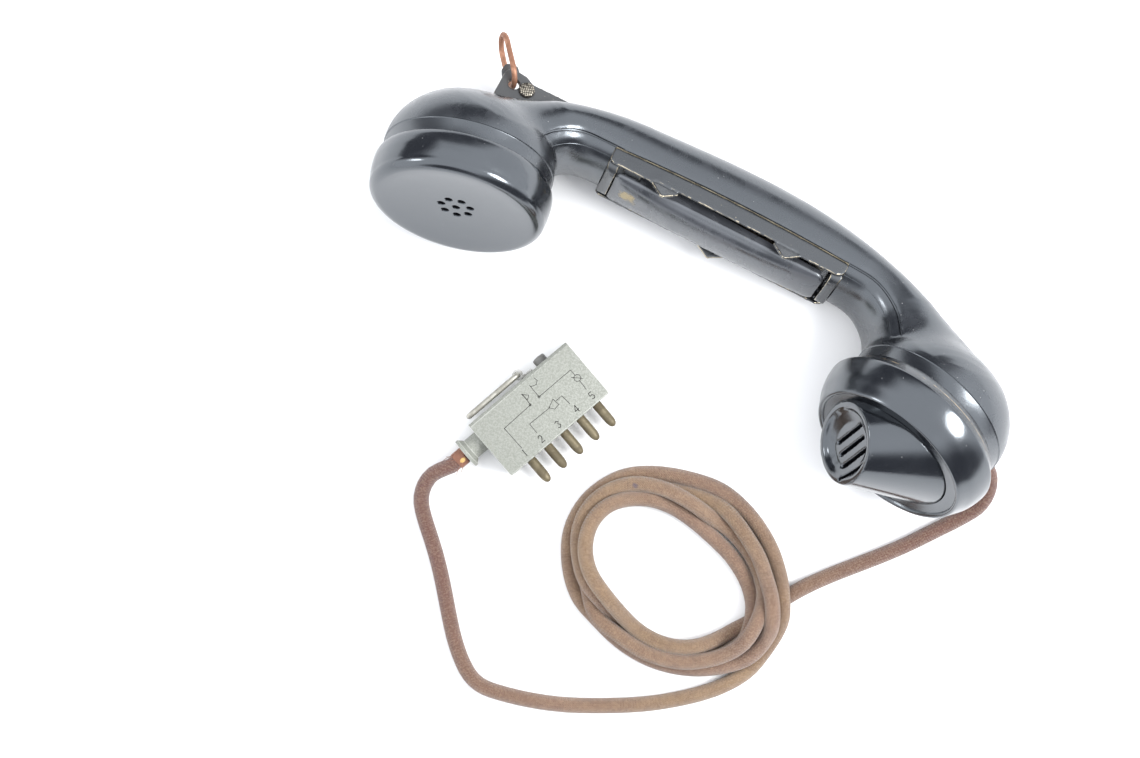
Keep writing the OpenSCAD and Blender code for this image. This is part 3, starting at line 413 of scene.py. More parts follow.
def settle_cord(goal, steps=300):
    """Lets the cord sink on the table and its own turns until nothing is squeezed together."""
    sink, pull, relax, straighten, sideways, push_out = 0.04, 0.09, 0.2, 0.4, 0.25, 1.6
    spot = goal.copy()
    count = len(goal)
    pitch = np.linalg.norm(np.diff(goal, axis=0), axis=1).mean()
    apart = 1.9 * CORD_R
    first, second = np.triu_indices(count, int(2.2 * apart / pitch))
    end = np.minimum(np.arange(count), np.arange(count)[::-1])
    hold = np.clip((17 - end) / 9, 0, 1)[:, None]
    for _ in range(steps):
        spot[:, 2] -= sink
        spot[:, :2] += pull * (goal - spot)[:, :2]
        spot[1:-1] += relax * (0.5 * (spot[:-2] + spot[2:]) - spot[1:-1])
        for reach in (1, 2, 3, 4):
            straight = 0.5 * (spot[:-2 * reach] + spot[2 * reach:]) - spot[reach:-reach]
            bow = np.linalg.norm(straight, axis=1)[:, None]
            allowed = (reach * pitch) ** 2 / (2 * LEAST_BEND)
            excess = np.maximum(0, 1 - allowed / np.maximum(bow, 1e-6))
            spot[reach:-reach] += straighten * straight * excess
        for _ in range(3):
            gap = spot[second] - spot[first]
            far = np.linalg.norm(gap, axis=1)
            near = far < apart
            push = gap[near] / np.maximum(far[near], 1e-6)[:, None]
            push[:, :2] *= sideways
            push *= (0.5 * (apart - far[near]))[:, None]
            shift = np.zeros_like(spot)
            hits = np.zeros(count)
            for ends, way in ((second, 1), (first, -1)):
                np.add.at(shift, ends[near], way * push)
                np.add.at(hits, ends[near], 1)
            shift /= np.sqrt(np.maximum(hits, 1))[:, None]
            for _ in range(3):
                shift[1:-1] = 0.5 * shift[1:-1] + 0.25 * (shift[:-2] + shift[2:])
            spot += push_out * shift
            spot[:, 2] = np.maximum(spot[:, 2], CORD_R + TABLE_SKIN)
        spot += hold * (goal - spot)
    return spot


bush_in, bush_out, gland_out, gland_in = (
    tuple(place @ Vector((0, 0, height))) for place, height in (
        (BUSH, -BUSH_LEN), (BUSH, 2.5), (GLAND, GLAND_LEN + 4.5), (GLAND, -3)))
cord_line = settle_cord(even_line(
    [bush_in, bush_out] + LEAD + LAPS + TAIL + [gland_out, gland_in], 2.4))
CORD_LENGTH = float(np.linalg.norm(np.diff(cord_line, axis=0), axis=1).sum()) * MM

# ---- Node trees: the helpers add to the tree in hand ----
tree = None


def fill(socket, value):
    """Gives an input a link, a number, a vector or a colour."""
    if isinstance(value, bpy.types.NodeSocket):
        tree.links.new(value, socket)
    elif socket.type == "RGBA" and len(value) == 3:
        socket.default_value = (*value, 1)
    else:
        socket.default_value = value


def put(sockets, **values):
    """Fills inputs by name; underscores stand for spaces."""
    for key, value in values.items():
        fill(sockets[key.replace("_", " ")], value)


def node(kind, inputs=(), **settings):
    """Adds a node, sets its fields, and fills its inputs."""
    made = tree.nodes.new("ShaderNode" + kind)
    for key, value in settings.items():
        setattr(made, key, value)
    for key, value in dict(inputs).items():
        fill(made.inputs[key], value)
    return made


def calc(operation, a, b=0, clamp=False):
    return node("Math", {0: a, 1: b}, operation=operation, use_clamp=clamp).outputs[0]


def times(a, b):
    return calc("MULTIPLY", a, b)


def plus(a, b):
    return calc("ADD", a, b)


def most(a, b):
    return calc("MAXIMUM", a, b)


def step(value, low, high, out_low=0, out_high=1):
    """Eases a value from one range to another."""
    return node("MapRange", {0: value, 1: low, 2: high, 3: out_low, 4: out_high},
                interpolation_type="SMOOTHSTEP").outputs[0]


def blend(factor, a, b):
    return node("Mix", {0: factor, 6: a, 7: b}, data_type="RGBA").outputs[2]


def coords(kind="Object"):
    return node("TexCoord").outputs[kind]


def attribute(name):
    return node("Attribute", attribute_name=name).outputs["Fac"]


def run_parts():
    """The cord's own coordinates: metres along it, and the share of a turn round it."""
    return node("SeparateXYZ", {0: node("UVMap", uv_map="run").outputs[0]}).outputs


def noise(scale, detail=2, rough=0.5, vector=None, distortion=0):
    return node("TexNoise", {"Scale": scale, "Detail": detail, "Roughness": rough,
                             "Distortion": distortion, "Vector": vector or coords()}).outputs[0]


def new_group(name, inputs, outputs):
    """Starts a node group with plain number inputs; gives its input and output sockets."""
    global tree
    tree = bpy.data.node_groups.new(name, "ShaderNodeTree")
    for label, value in inputs.items():
        tree.interface.new_socket(
            label, in_out="INPUT", socket_type="NodeSocketFloat").default_value = value
    for label in outputs:
        kind = "NodeSocketVector" if label == "Normal" else "NodeSocketFloat"
        tree.interface.new_socket(label, in_out="OUTPUT", socket_type=kind)
    return tree.nodes.new("NodeGroupInput").outputs, tree.nodes.new("NodeGroupOutput").inputs


def use(name, **inputs):
    made = node("Group", node_tree=bpy.data.node_groups[name])
    put(made.inputs, **inputs)
    return made.outputs


# Edges rubbed bare: the wear attribute, broken up
given, out = new_group("rubbed_edges", {"Amount": 0.6, "Scale": 700}, ["Mask"])
edge = attribute("wear")
level = plus(times(noise(given["Scale"], 4, 0.6), 0.6), times(noise(90), 0.5))
level = plus(level, times(edge, given["Amount"]))
put(out, Mask=times(step(level, 0.98, 1.12), step(edge, 0.1, 0.9)))

# Small pale dust grains lying on what faces up
given, out = new_group("specks", {"Scale": 420, "Share": 0.12}, ["Mask"])
cells = node("TexVoronoi", {"Vector": coords(), "Scale": given["Scale"]}).outputs
grain = step(cells["Distance"], 0.16, 0.06)
chosen = node("SeparateColor", {0: cells["Color"]}).outputs[0]
chosen = calc("LESS_THAN", chosen, given["Share"])
up = step(node("SeparateXYZ", {0: coords("Normal")}).outputs[2], -0.1, 0.6)
put(out, Mask=times(times(grain, chosen), up))

# Soft blotches
given, out = new_group("blotches", {"Scale": 60}, ["Value"])
put(out, Value=step(noise(given["Scale"], 5, 0.62, distortion=0.6), 0.3, 0.7))

# Fine hairlines running many ways
given, out = new_group("scratches", {"Scale": 110, "Share": 0.5}, ["Mask"])
spot = coords()
lines = None
for angle, squeeze in ((0.4, 0.02), (1.7, 0.03), (2.6, 0.02)):
    turned_by = (angle, 0.7 * angle, 1.3 * angle)
    bent = node("Mapping", {0: spot, 2: turned_by, 3: (1, squeeze, 1)}).outputs[0]
    value = noise(given["Scale"], 0, 0.4, bent, 0.1)
    line = step(calc("ABSOLUTE", calc("SUBTRACT", value, 0.5)), 0.004, 0)
    lines = line if lines is None else most(lines, line)
broken = step(noise(45, 3), given["Share"], plus(given["Share"], 0.15))
put(out, Mask=times(lines, broken))

# A normal disturbed by broad waves and fine grain
given, out = new_group(
    "unevenness", {"Waves": 0.1, "Wave scale": 40, "Grain": 0.1, "Grain scale": 900}, ["Normal"])
waves = noise(given["Wave scale"], 1)
grain = noise(given["Grain scale"], 3, 0.6)
low = node("Bump", {"Height": waves, "Strength": given["Waves"], "Distance": 0.002})
high = node("Bump", {"Height": grain, "Strength": given["Grain"], "Distance": 0.0003,
                     "Normal": low.outputs[0]})
put(out, Normal=high.outputs[0])

# Crossing yarns round a cord: their height, and which of the two ways each one runs
given, out = new_group("braid", {"Along": 620, "Around": 15}, ["Height", "Way"])
parts = run_parts()
along = times(parts[0], given["Along"])
turns = times(parts[1], given["Around"])
heights, sides = [], []
for way in ("ADD", "SUBTRACT"):
    place = calc(way, along, turns)
    heights.append(calc("SQRT", times(calc("PINGPONG", place, 0.5), 2)))
    sides.append(calc("SINE", times(place, pi)))
over = step(times(*sides), -0.15, 0.15)
put(out, Way=over, Height=plus(times(heights[0], over),
                               times(heights[1], calc("SUBTRACT", 1, over))))


def uneven(waves, wave_scale, grain, grain_scale):
    return use("unevenness", Waves=waves, Wave_scale=wave_scale, Grain=grain,
               Grain_scale=grain_scale)["Normal"]


def new_material(name):
    """Starts a material; gives it and the inputs of its surface shader."""
    global tree
    material = bpy.data.materials.new(name)
    material.use_nodes = True
    tree = material.node_tree
    return material, tree.nodes["Principled BSDF"].inputs


def shade_of(colour, factor, lift=0):
    return tuple(factor * c + lift for c in colour)


def gloss(name, colour, rough, dust):
    """Polished black moulding, with handling haze, hairlines and dust."""
    material, surface = new_material(name)
    haze = use("blotches", Scale=75)["Value"]
    marks = use("scratches", Scale=120, Share=0.52)["Mask"]
    dirt = use("specks", Scale=700, Share=dust)["Mask"]
    worn = use("rubbed_edges", Amount=0.5, Scale=500)["Mask"]
    base = blend(times(haze, 0.5), colour, shade_of(colour, 1.7, 0.003))
    base = blend(times(marks, 0.06), base, (0.15, 0.15, 0.16))
    base = blend(times(dirt, 0.5), base, (0.3, 0.29, 0.28))
    base = blend(times(worn, 0.8), base, (0.3, 0.22, 0.12))
    level = calc("ADD", step(haze, 0, 1, rough, 1.6 * rough),
                 plus(times(marks, 0.08), times(dirt, 0.5)), True)
    put(surface, Base_Color=base, Roughness=level, IOR=1.6, Specular_IOR_Level=1,
        Specular_Tint=(0.86, 0.93, 1), Normal=uneven(0.03, 55, 0.05, 1400))
    return material


def painted(name, colour, bare, rough, amount, spread=0, grain=0.12):
    """Paint on metal, rubbed through along its edges and in chips."""
    material, surface = new_material(name)
    worn = use("rubbed_edges", Amount=amount)["Mask"]
    if spread:
        patch = plus(attribute("rubbed"), times(noise(500, 4), spread))
        worn = most(worn, step(patch, 0.85, 1.15))
    haze = use("blotches", Scale=120)["Value"]
    chips = step(noise(1300), 0.73, 0.77)
    worn = most(worn, times(chips, 0.6))
    base = blend(times(haze, 0.5), colour, shade_of(colour, 1.6, 0.004))
    put(surface, Base_Color=blend(worn, base, bare), Metallic=times(worn, 0.85),
        Roughness=step(haze, 0, 1, rough, rough + 0.15), IOR=1.6, Specular_IOR_Level=0.9,
        Specular_Tint=(0.9, 0.95, 1), Normal=uneven(0.05, 90, grain, 1600))
    return material


def metal(name, colour, tarnish, rough, share=0.5, metallic=0.9, grain=0.2, scale=160, bright=None):
    """Bare metal under a patchy film, brighter where it is rubbed."""
    material, surface = new_material(name)
    film = use("blotches", Scale=scale)["Value"]
    film = step(film, 1 - share - 0.3, 1.3 - share)
    worn = use("rubbed_edges", Amount=0.55, Scale=900)["Mask"]
    base = blend(film, colour, tarnish)
    base = blend(times(noise(1900, 3), 0.3), base, shade_of(tarnish, 0.5))
    base = blend(worn, base, bright or tuple(min(1, 1.5 * c) for c in colour))
    put(surface, Base_Color=base, Metallic=step(film, 0, 1, metallic, 0.75 * metallic),
        Roughness=step(film, 0, 1, rough, min(0.9, rough + 0.22)),
        Normal=uneven(0.05, 150, grain, 2200))
    return material


def woven():
    """Faded cotton braid, redder towards its ends, with stray fibres, grime, an ink mark and
    painted shade between the yarns.
    """
    material, surface = new_material("cord_braid")
    yarn = use("braid", Along=1150, Around=20)
    along = run_parts()[0]
    faded = use("blotches", Scale=34)["Value"]
    aged = noise(9, 2, 0.5, node("CombineXYZ", {0: along}).outputs[0])
    spots = use("blotches", Scale=300)["Value"]
    near_end = most(step(along, 0.16, 0.02),
                    step(along, CORD_LENGTH - 0.17, CORD_LENGTH - 0.04))
    base = blend(faded, (0.175, 0.1, 0.07), (0.225, 0.14, 0.098))
    gold = blend(faded, (0.195, 0.125, 0.07), (0.255, 0.17, 0.1))
    base = blend(step(aged, 0.38, 0.62), base, gold)
    base = blend(near_end, base, (0.112, 0.046, 0.04))
    base = blend(times(spots, 0.4), base, (0.11, 0.058, 0.04))
    flecks = step(noise(1500, 2, 0.6), 0.46, 0.62)
    base = blend(times(flecks, 0.28), base, (0.4, 0.29, 0.2))
    away = node("VectorMath", {0: coords(), 1: (0.0161, -0.0746, 0.0115)},
                operation="DISTANCE").outputs["Value"]
    away = plus(away, times(noise(900), 0.0016))
    base = blend(step(away, 0.003, 0.0022, 0, 0.7), base, (0.05, 0.05, 0.1))
    base = blend(times(yarn["Way"], 0.12), base, (0.34, 0.25, 0.18))
    # Painted shade: darker in the low grooves between the yarns.
    base = blend(step(yarn["Height"], 0.5, 0, 0, 0.4), base, (0.06, 0.032, 0.024))
    height = plus(yarn["Height"], times(noise(2600), 0.7))
    bump = node("Bump", {"Height": height, "Strength": 1, "Distance": 0.00025})
    put(surface, Base_Color=base, Roughness=0.92, Normal=bump.outputs[0], Sheen_Weight=0.35,
        Sheen_Roughness=0.5, Specular_IOR_Level=0.2)
    return material


def dull(name, colour, other, rough, scale=140):
    """Rubber, fibre or thread: two close shades and a rough skin."""
    material, surface = new_material(name)
    streak = noise(1500, 3)
    base = blend(use("blotches", Scale=scale)["Value"], colour, other)
    base = blend(times(streak, 0.25), base, shade_of(colour, 0.5))
    put(surface, Base_Color=base, Roughness=step(streak, 0.2, 0.8, rough - 0.08, rough + 0.08),
        Normal=uneven(0.1, 200, 0.25, 1800))
    return material


SHELL = gloss("moulded_shell", (0.007, 0.0075, 0.009), 0.2, 0.05)
CAP = gloss("ear_cap_gloss", (0.006, 0.0065, 0.008), 0.12, 0.07)
RING_GLOSS = gloss("mouth_ring_gloss", (0.005, 0.0055, 0.007), 0.14, 0.03)
HORN_GLOSS = gloss("horn_gloss", (0.005, 0.0055, 0.007), 0.11, 0.03)
FRAME_PAINT = painted("frame_paint", (0.01, 0.0105, 0.0115), (0.5, 0.44, 0.33), 0.19, 0.76, 0, 0.05)
BRACKET_PAINT = painted("bracket_paint", (0.024, 0.022, 0.02), (0.42, 0.38, 0.32), 0.34, 0.5)
BAR_PAINT = painted("bar_enamel", (0.034, 0.036, 0.041), (0.26, 0.21, 0.12), 0.2, 0.5, 0.8, 0.04)
STUD_PAINT = painted("stud_black", (0.085, 0.08, 0.068), (0.3, 0.28, 0.25), 0.45, 0.5)
RUST = metal("rusted_wire", (0.4, 0.21, 0.135), (0.27, 0.13, 0.08), 0.42, 0.6, 0.7, 0.5,
             bright=(0.54, 0.35, 0.25))
RIVET = metal("rivet_steel", (0.09, 0.08, 0.07), (0.04, 0.035, 0.03), 0.4, 0.5, 0.6, 0.4,
              bright=(0.55, 0.5, 0.41))
STEEL = metal("plain_steel", (0.48, 0.48, 0.46), (0.3, 0.29, 0.27), 0.35)
SCREW = metal("screw_steel", (0.5, 0.47, 0.4), (0.3, 0.26, 0.19), 0.32)
BRASS = metal("contact_brass", (0.7, 0.54, 0.27), (0.42, 0.31, 0.15), 0.3)
# Tarnished brass darkened further as painted shade, for the contact springs deep in the switch
# recess.
SHADED_BRASS = metal("tarnished_brass_painted_shade", (0.1, 0.075, 0.045), (0.05, 0.038, 0.026), 0.5, 0.6, 0.5)
PINS = metal("pin_brass", (0.17, 0.14, 0.082), (0.12, 0.096, 0.055), 0.44, 0.5, 0.35, 0.3,
             bright=(0.36, 0.31, 0.19))
ZINC = metal("plug_zinc", (0.3, 0.308, 0.275), (0.25, 0.258, 0.226), 0.5, 0.5, 0.2, 0.6, 1500,
             (0.42, 0.43, 0.39))
CLIP = metal("clip_wire", (0.46, 0.45, 0.4), (0.3, 0.29, 0.25), 0.36, 0.5, 0.8)
CAPSULE = metal("capsule_metal", (0.55, 0.55, 0.52), (0.4, 0.4, 0.37), 0.35)
DISC = metal("diaphragm_steel", (0.24, 0.26, 0.31), (0.16, 0.16, 0.19), 0.35)
BRAID = woven()
THREAD = dull("whipping_thread", (0.27, 0.125, 0.08), (0.2, 0.085, 0.052), 0.6, 300)
# Pale gold thread used as a painted highlight on the whipping's knot.
THREAD_HIGHLIGHT = dull("thread_painted_highlight", (0.62, 0.42, 0.15), (0.5, 0.3, 0.1), 0.45, 300)
VARNISH = dull("old_varnish", (0.3, 0.26, 0.175), (0.12, 0.1, 0.07), 0.55, 260)
RUBBER = dull("rubber_black", (0.018, 0.018, 0.018), (0.03, 0.03, 0.03), 0.7)
FIBRE = dull("fibre_brown", (0.17, 0.075, 0.035), (0.13, 0.055, 0.025), 0.6)
INK = dull("engraved_ink", (0.035, 0.035, 0.03), (0.06, 0.06, 0.05), 0.7, 400)

# ---- The cord's meshes ----
cord = raw("cord_braid", swept(cord_line, CORD_R, 20))
finish(cord, TABLE, BRAID, ["cord_lead", "cord_coil", "cord_tail"], 0)
upward = GLAND.inverted().to_3x3() @ Vector((0.25, -0.35, 1))
WHIP_UP = degrees(atan2(upward.y, upward.x))
WHIP_R, WHIP_PITCH, WHIP_TURNS, TURN_POINTS = CORD_R + 0.16, 0.5, 7.5, 28
whip_line = [(WHIP_R * cos(2 * pi * k / TURN_POINTS), WHIP_R * sin(2 * pi * k / TURN_POINTS),
              GLAND_LEN + 0.3 + WHIP_PITCH * k / TURN_POINTS + 0.05 * sin(0.9 * k))
             for k in range(int(WHIP_TURNS * TURN_POINTS) + 1)]
finish(raw("whipping", swept(whip_line, 0.27, 8)), GLAND, THREAD,
       ["cord_whipping"], 0)

frayed = bmesh.new()
for angle, up, length, lean in (
        (0.3, 11.2, 3, 0.7), (0.9, 10.4, 2.2, -0.5), (1.6, 11.6, 3.6, 0.9),
        (2.4, 11, 2.4, -0.8), (3.3, 11.5, 2.8, 0.4), (4.4, 10.8, 2, 0.6),
        (5.4, 11.7, 3.2, -0.6)):
    strand = []
    for t in (k / 8 for k in range(9)):
        out = CORD_R + 0.1 + 1.1 * t * t
        a = angle + lean * t * t * 0.6
        height = GLAND_LEN + up - 7.5 + length * t - 0.4 * sin(3 * t)
        strand.append((out * cos(a), out * sin(a), height))
    loft(frayed, tube_rings(strand, [0.13 - 0.007 * k for k in range(9)], 6))
finish(raw("whipping_ends", frayed), GLAND, THREAD, (), 0)
# A small knot on the whipping's upper side; its pale gold colour is a painted highlight.
knot = bmesh.new()
bmesh.ops.create_icosphere(knot, subdivisions=3, radius=1)
knot.transform(Matrix.Diagonal((0.55, 0.8, 1.15, 1)))
for vert in knot.verts:
    vert.co *= 1 + 0.1 * sin(5 * vert.co.x + 7 * vert.co.z) * cos(6 * vert.co.y)
knot.transform(turn("Z", WHIP_UP) @ move(CORD_R + 0.3, 0, GLAND_LEN + 1.9))
finish(raw("whipping_knot", knot), GLAND, THREAD_HIGHLIGHT, (), 0)

# ---- Handset: handle and cups moulded in one ----
# Each station: x and z of the back, of the seam and of the keel, and what is added to the width
GRIP_HALF_W, KEEL_STEP, WIDEST = 14.6, 1.6, 0.34
EAR_STATIONS = [
    (-12, 26, 2, 7, 5, 4, 4), (-3, 29.5, 9, 10, 13, 6.5, 5), (5, 32.6, 15, 15, 19.5, 10.5, 4.5),
    (13, 37.6, 19.3, 22.5, 24.3, 17, 2.8), (23, 42.3, 26.5, 28.4, 29.2, 22, 1),
    (38, 47.1, 37, 30.4, 38, 24.4, 0.3), (56, 50, 55.5, 31.4, 56, 25.4, 0),
    (76, 52.5, 76, 32.8, 76, 27, 0)]
MOUTH_STATIONS = [
    (-75.5, 49, -75.5, 29.2, -75.5, 23.4, 0), (-57.5, 48.4, -58.5, 30.5, -58.5, 24.6, 0),
    (-42.5, 46.1, -45.5, 31.3, -45.5, 25.4, 0.2), (-27.5, 42.3, -34.5, 30.2, -37, 24.8, 0.8),
    (-15.5, 38.4, -25.2, 24, -30, 20, 2.2), (-5.5, 34.6, -19.7, 15.5, -26, 13, 4),
    (4.5, 31, -13.5, 9, -19.5, 6, 5), (12.5, 26.5, -5.5, 4, -9.5, 3, 4)]
shift = np.array([MOUTH_X, MOUTH_Z] * 3 + [0])
stations = smooth_outline(EAR_STATIONS + [np.array(row) + shift for row in MOUTH_STATIONS])


def handle_ring(station):
    """A ring of the handle: an oval shell above the seam and a narrower keel below it."""
    back, seam, keel = (np.array(station[i:i + 2]) for i in (0, 2, 4))
    half = GRIP_HALF_W + station[6]
    shell = back - seam
    points = []
    for a in (pi * k / 36 for k in range(37)):
        p = seam + shell * (WIDEST + (1 - WIDEST) * sin(a))
        points.append((p[0], half * cos(a), p[1]))
    for side, heights in ((-1, (0.26, 0.13, 0.0)), (1, (0.0, 0.13, 0.26))):
        for h in heights:
            p = seam + shell * h
            points.append((p[0], side * half * (0.97 + 0.025 * sqrt(h / 0.26)), p[1]))
        if side < 0:
            for a in (pi * k / 24 for k in range(25)):
                p = seam + (keel - seam) * sin(a)
                points.append((p[0], -(half - KEEL_STEP) * cos(a), p[1]))
    return [Vector(p) for p in points]


def dome_distance(point, to_cup):
    p = to_cup @ point
    out = sqrt(p.x ** 2 + p.y ** 2)
    if p.z > -BAND_H:
        return abs(out - RIM_R)
    return abs(sqrt((out / RIM_R) ** 2 + ((p.z + BAND_H) / DOME_DEPTH) ** 2) - 1) * 26


bm = bmesh.new()
loft(bm, [handle_ring(s) for s in stations])
handle_tree = BVHTree.FromBMesh(bm)
shell_body = raw("handset_shell", bm)
cups = [HANDSET.inverted() @ place for place in (EAR, MOUTH)]
switch_place = HANDSET.inverted() @ SWITCH
dome = [(RIM_R * cos(radians(a)), -BAND_H - DOME_DEPTH * sin(radians(a)))
        for a in range(87, -1, -3)]
dome = [(0, -BAND_H - DOME_DEPTH)] + dome + [(RIM_R, 0.8), (0, 0.8)]
for place in cups:
    cut(shell_body, rod(40, 0.4, 60, 96), place)
    cut(shell_body, turned(dome, 160), place, "UNION")
remesh(shell_body, 0.62)

# Where the necks run into the domes, the more the closer to both
soften(shell_body, 1)
seam_x, seam_z = [s[2] for s in stations], [s[3] for s in stations]
to_cups = [place.inverted() for place in cups]
joint_gap = []
for vert in shell_body.data.vertices:
    p = vert.co
    gap = min(dome_distance(p, to_cup) for to_cup in to_cups)
    if gap < 12:
        above = p.z - np.interp(p.x, seam_x, seam_z)
        gap = max(gap, handle_tree.find_nearest(p, 13)[3] or 13) + 2.5 * max(0, 4 - above)
    joint_gap.append(gap)
soften(shell_body, 5)
for width, rounds in ((10, 90), (8, 60), (6, 40), (4.5, 30)):
    soften(shell_body, rounds, [i for i, gap in enumerate(joint_gap) if gap < width])
soften(shell_body, 2)


def carve(tool, place=None, operation="DIFFERENCE"):
    cut(shell_body, tool, place, operation, "MANIFOLD")


# The bands behind the rims, the chambers with their wells, and the switch's seat and pocket
BAND_R, BORE_R, SPIGOT_R = 29.05, 24.8, 26.7
band = [(BAND_R, 6), (BAND_R, -4.8), (29.1, -4.95), (29.22, -5.08), (RIM_R, -5.16), (36, -5.2),
        (36, 6), (BAND_R, 6)]
spigot = [(BORE_R, -1), (SPIGOT_R, -1), (SPIGOT_R, 5.4), (26.1, 6), (BORE_R, 6), (BORE_R, -1)]
chamber = [(0, -14), (15, -14), (15, -6), (BORE_R, -6), (BORE_R, 7), (0, 7)]
for place in cups:
    carve(turned(band, 160), place)
    carve(rod(40, 0, 30, 96), place)
    carve(turned(chamber, 96), place)
    carve(turned(spigot, 96), place, "UNION")
SEAT_SAG, SEAT_LENGTH = 1.4, 88
seat = [(0, -12)] + [(i * 11, SEAT_SAG * (1 - (i / 4 - 1) ** 2)) for i in range(9)]
seat.append((SEAT_LENGTH, -12))
carve(drawn_out([(x, -20, z) for x, z in seat], (0, 40, 0)), switch_place)
carve(block((18, -7.5, -1), (76, 7.5, 9)), switch_place)
# Grooves under the shell's edge and along the neck's mould line
for first, last in ((3, 33), (59, 88)):
    for way in (-1, 1):
        for down, width in ((0.0, 0.6), (0.55, 0.16)):
            line = []
            for s in stations[first:last]:
                seam, keel = np.array(s[2:4]), np.array(s[4:6])
                spot = seam + (keel - seam) * down
                out = GRIP_HALF_W + s[6] - KEEL_STEP
                out = out * sqrt(1 - down ** 2) if down else out + 0.25
                line.append((spot[0], way * out, spot[1]))
            bm = bmesh.new()
            loft(bm, tube_rings(line, width, 8))
            carve(bm)
finish(shell_body, HANDSET, SHELL, ["handset_body"], 42)

# ---- Ear cap and mouth ring, both hollow to go over the spigots ----
OVER_R, OVER_H, LIP_R = SPIGOT_R + 0.25, 6.3, 22.9
cap_outline = [
    *smooth_outline([(0, 12.2), (10, 12.42), (18.9, 13.05), (25.3, 13.78)])[:-1],
    *arc(26.8, 10.5, 3.4, 95, 0, 14),
    *smooth_outline([(30.2, 10.5), (30.58, 8.5), (30.8, 6.5), (30.9, 4.5), (30.7, 2),
                     (30.25, 0.6)], 4)[1:],
    (29.9, 0.15), (29.6, 0.05), (OVER_R, 0.05), (OVER_R, OVER_H), (BORE_R, OVER_H),
    (BORE_R, 9.6), (0, 9.6)]
ear_cap = raw("ear_cap_turned", turned(cap_outline, 160))
for i in range(8):
    spot = turn("Z", i * 360 / 7) @ move(5.1 if i < 7 else 0, 0, 0)
    cut(ear_cap, rod(1.3, 8, 12.05, 32), spot)
    cut(ear_cap, rod(1.25, 11.95, 12.7, 32, 1.75), spot)
finish(ear_cap, EAR, CAP, ["ear_cap"])

ring_outline = [
    (LIP_R, 14.1), (LIP_R, 16.3), (23.1, 16.5), (26.5, 16.5),
    *smooth_outline([(26.8, 16.55), (27.3, 17.25), (28.1, 17.48), (28.75, 17), (30.1, 14.6),
                     (31.5, 12), (32.5, 9), (32.98, 6.3), (32.95, 5.2), (32.6, 4.7)], 5),
    (31.25, 2.75), (30.95, 2.35), (29.5, 0.05), (OVER_R, 0.05), (OVER_R, OVER_H),
    (25.75, OVER_H), (25.75, 14.1), (LIP_R, 14.1)]
mouth_ring = raw("mouth_ring_turned", turned(ring_outline, 160))
rear = mouth_ring.data.attributes.new("wear", "FLOAT", "FACE")
for face in mouth_ring.data.polygons:
    rear.data[face.index].value = 1 if 2.3 < face.center.z < 2.8 else 0
finish(mouth_ring, MOUTH, RING_GLOSS, ["mouth_ring"])


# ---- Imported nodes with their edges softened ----
def taken(name):
    """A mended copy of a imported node's mesh, in millimetres."""
    bm = bmesh.new()
    bm.from_mesh(frame["nodes"][name].data)
    bm.transform(Matrix.Scale(1 / MM, 4))
    for layer in list(bm.loops.layers.uv):
        bm.loops.layers.uv.remove(layer)
    bmesh.ops.remove_doubles(bm, verts=bm.verts, dist=2e-3)
    return bm


def dressed(name, width, material, body="handset"):
    """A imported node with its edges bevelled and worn."""
    bm = taken(name)
    bmesh.ops.dissolve_limit(bm, angle_limit=radians(0.6), verts=bm.verts, edges=bm.edges)
    round_edges(bm, width)
    face_outward(bm)
    finish(raw(name + "_dressed", bm), TABLE, material, [name], body=body)


def worn_piece(name, grain, reach, material):
    """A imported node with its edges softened, each point remembering how far it sank."""
    piece = raw(name + "_dressed", taken(name))
    remesh(piece, grain)
    before = [(v.co.copy(), v.normal.copy()) for v in piece.data.vertices]
    soften(piece, 3)
    wear = piece.data.attributes.new("wear", "FLOAT", "POINT")
    for vert, (old, facing) in zip(piece.data.vertices, before):
        wear.data[vert.index].value = min(1, max(0, (old - vert.co).dot(facing) / reach))
    finish(piece, TABLE, material, [name], 0)


# ---- Horn ----
FLANGE_R, THROAT_R = 22.75, 18.9


def circle(radius, z):
    return [(radius * cos(a), radius * sin(a), z) for a in around(96)]


def oval(inset, sunk, aside=0.0):
    """A ring in the plane of the horn's opening."""
    return [OPENING @ Vector((aside + (13.8 - inset) * cos(a), (17 - inset) * sin(a), -sunk))
            for a in around(96)]


horn = raw("horn_moulded", hull(
    circle(FLANGE_R, 14.05) + circle(FLANGE_R, 16.9) + oval(0, 0) + oval(0, 0.8)))
cut(horn, hull(circle(THROAT_R, 11) + circle(THROAT_R, 13.5) + oval(5, 5.2, -2)))
cut(horn, hull(oval(0.9, -1.2) + oval(3.2, 1.3) + oval(6.5, 2.6, -0.6)))
for i in range(4):
    cut(horn, block((-10.4 + i * 4.3, -8.8, -12), (-9.3 + i * 4.3, 8.8, 0)),
        OPENING @ turn("Z", 12))
flange = [(THROAT_R, 12), (25.5, 12), (25.5, 14), (THROAT_R, 14), (THROAT_R, 12)]
cut(horn, turned(flange, 96), operation="UNION")
remesh(horn, 0.36)
soften(horn, 5)
finish(horn, HORN, HORN_GLOSS, ["mouth_horn"], 0)

# ---- Talk switch ----
worn_piece("switch_frame", 0.28, 0.065, FRAME_PAINT)
dressed("switch_frame_screws", 0.08, SCREW)
varnish = []
for way, xs in ((-1, np.linspace(0.6, 87.4, 30)), (1, np.linspace(87.4, 0.6, 30))):
    varnish += [(x, way * 13.05, SEAT_SAG * (1 - (x / 44 - 1) ** 2) + 0.05) for x in xs]
    varnish += [(44 - way * 44.05, way * y, 0.05) for y in (12.4, 8, 4, 0, -4, -8, -12.4)]
spread = [0.2 + 0.07 * sin(1.7 * i) for i in range(len(varnish))]
varnish = raw("seat_varnish", swept(varnish, spread, 8, True))
finish(varnish, SWITCH, VARNISH, (), 0)

BAR_START, BAR_END, FLANGE_Z = 4.4, 82.6, -7.2


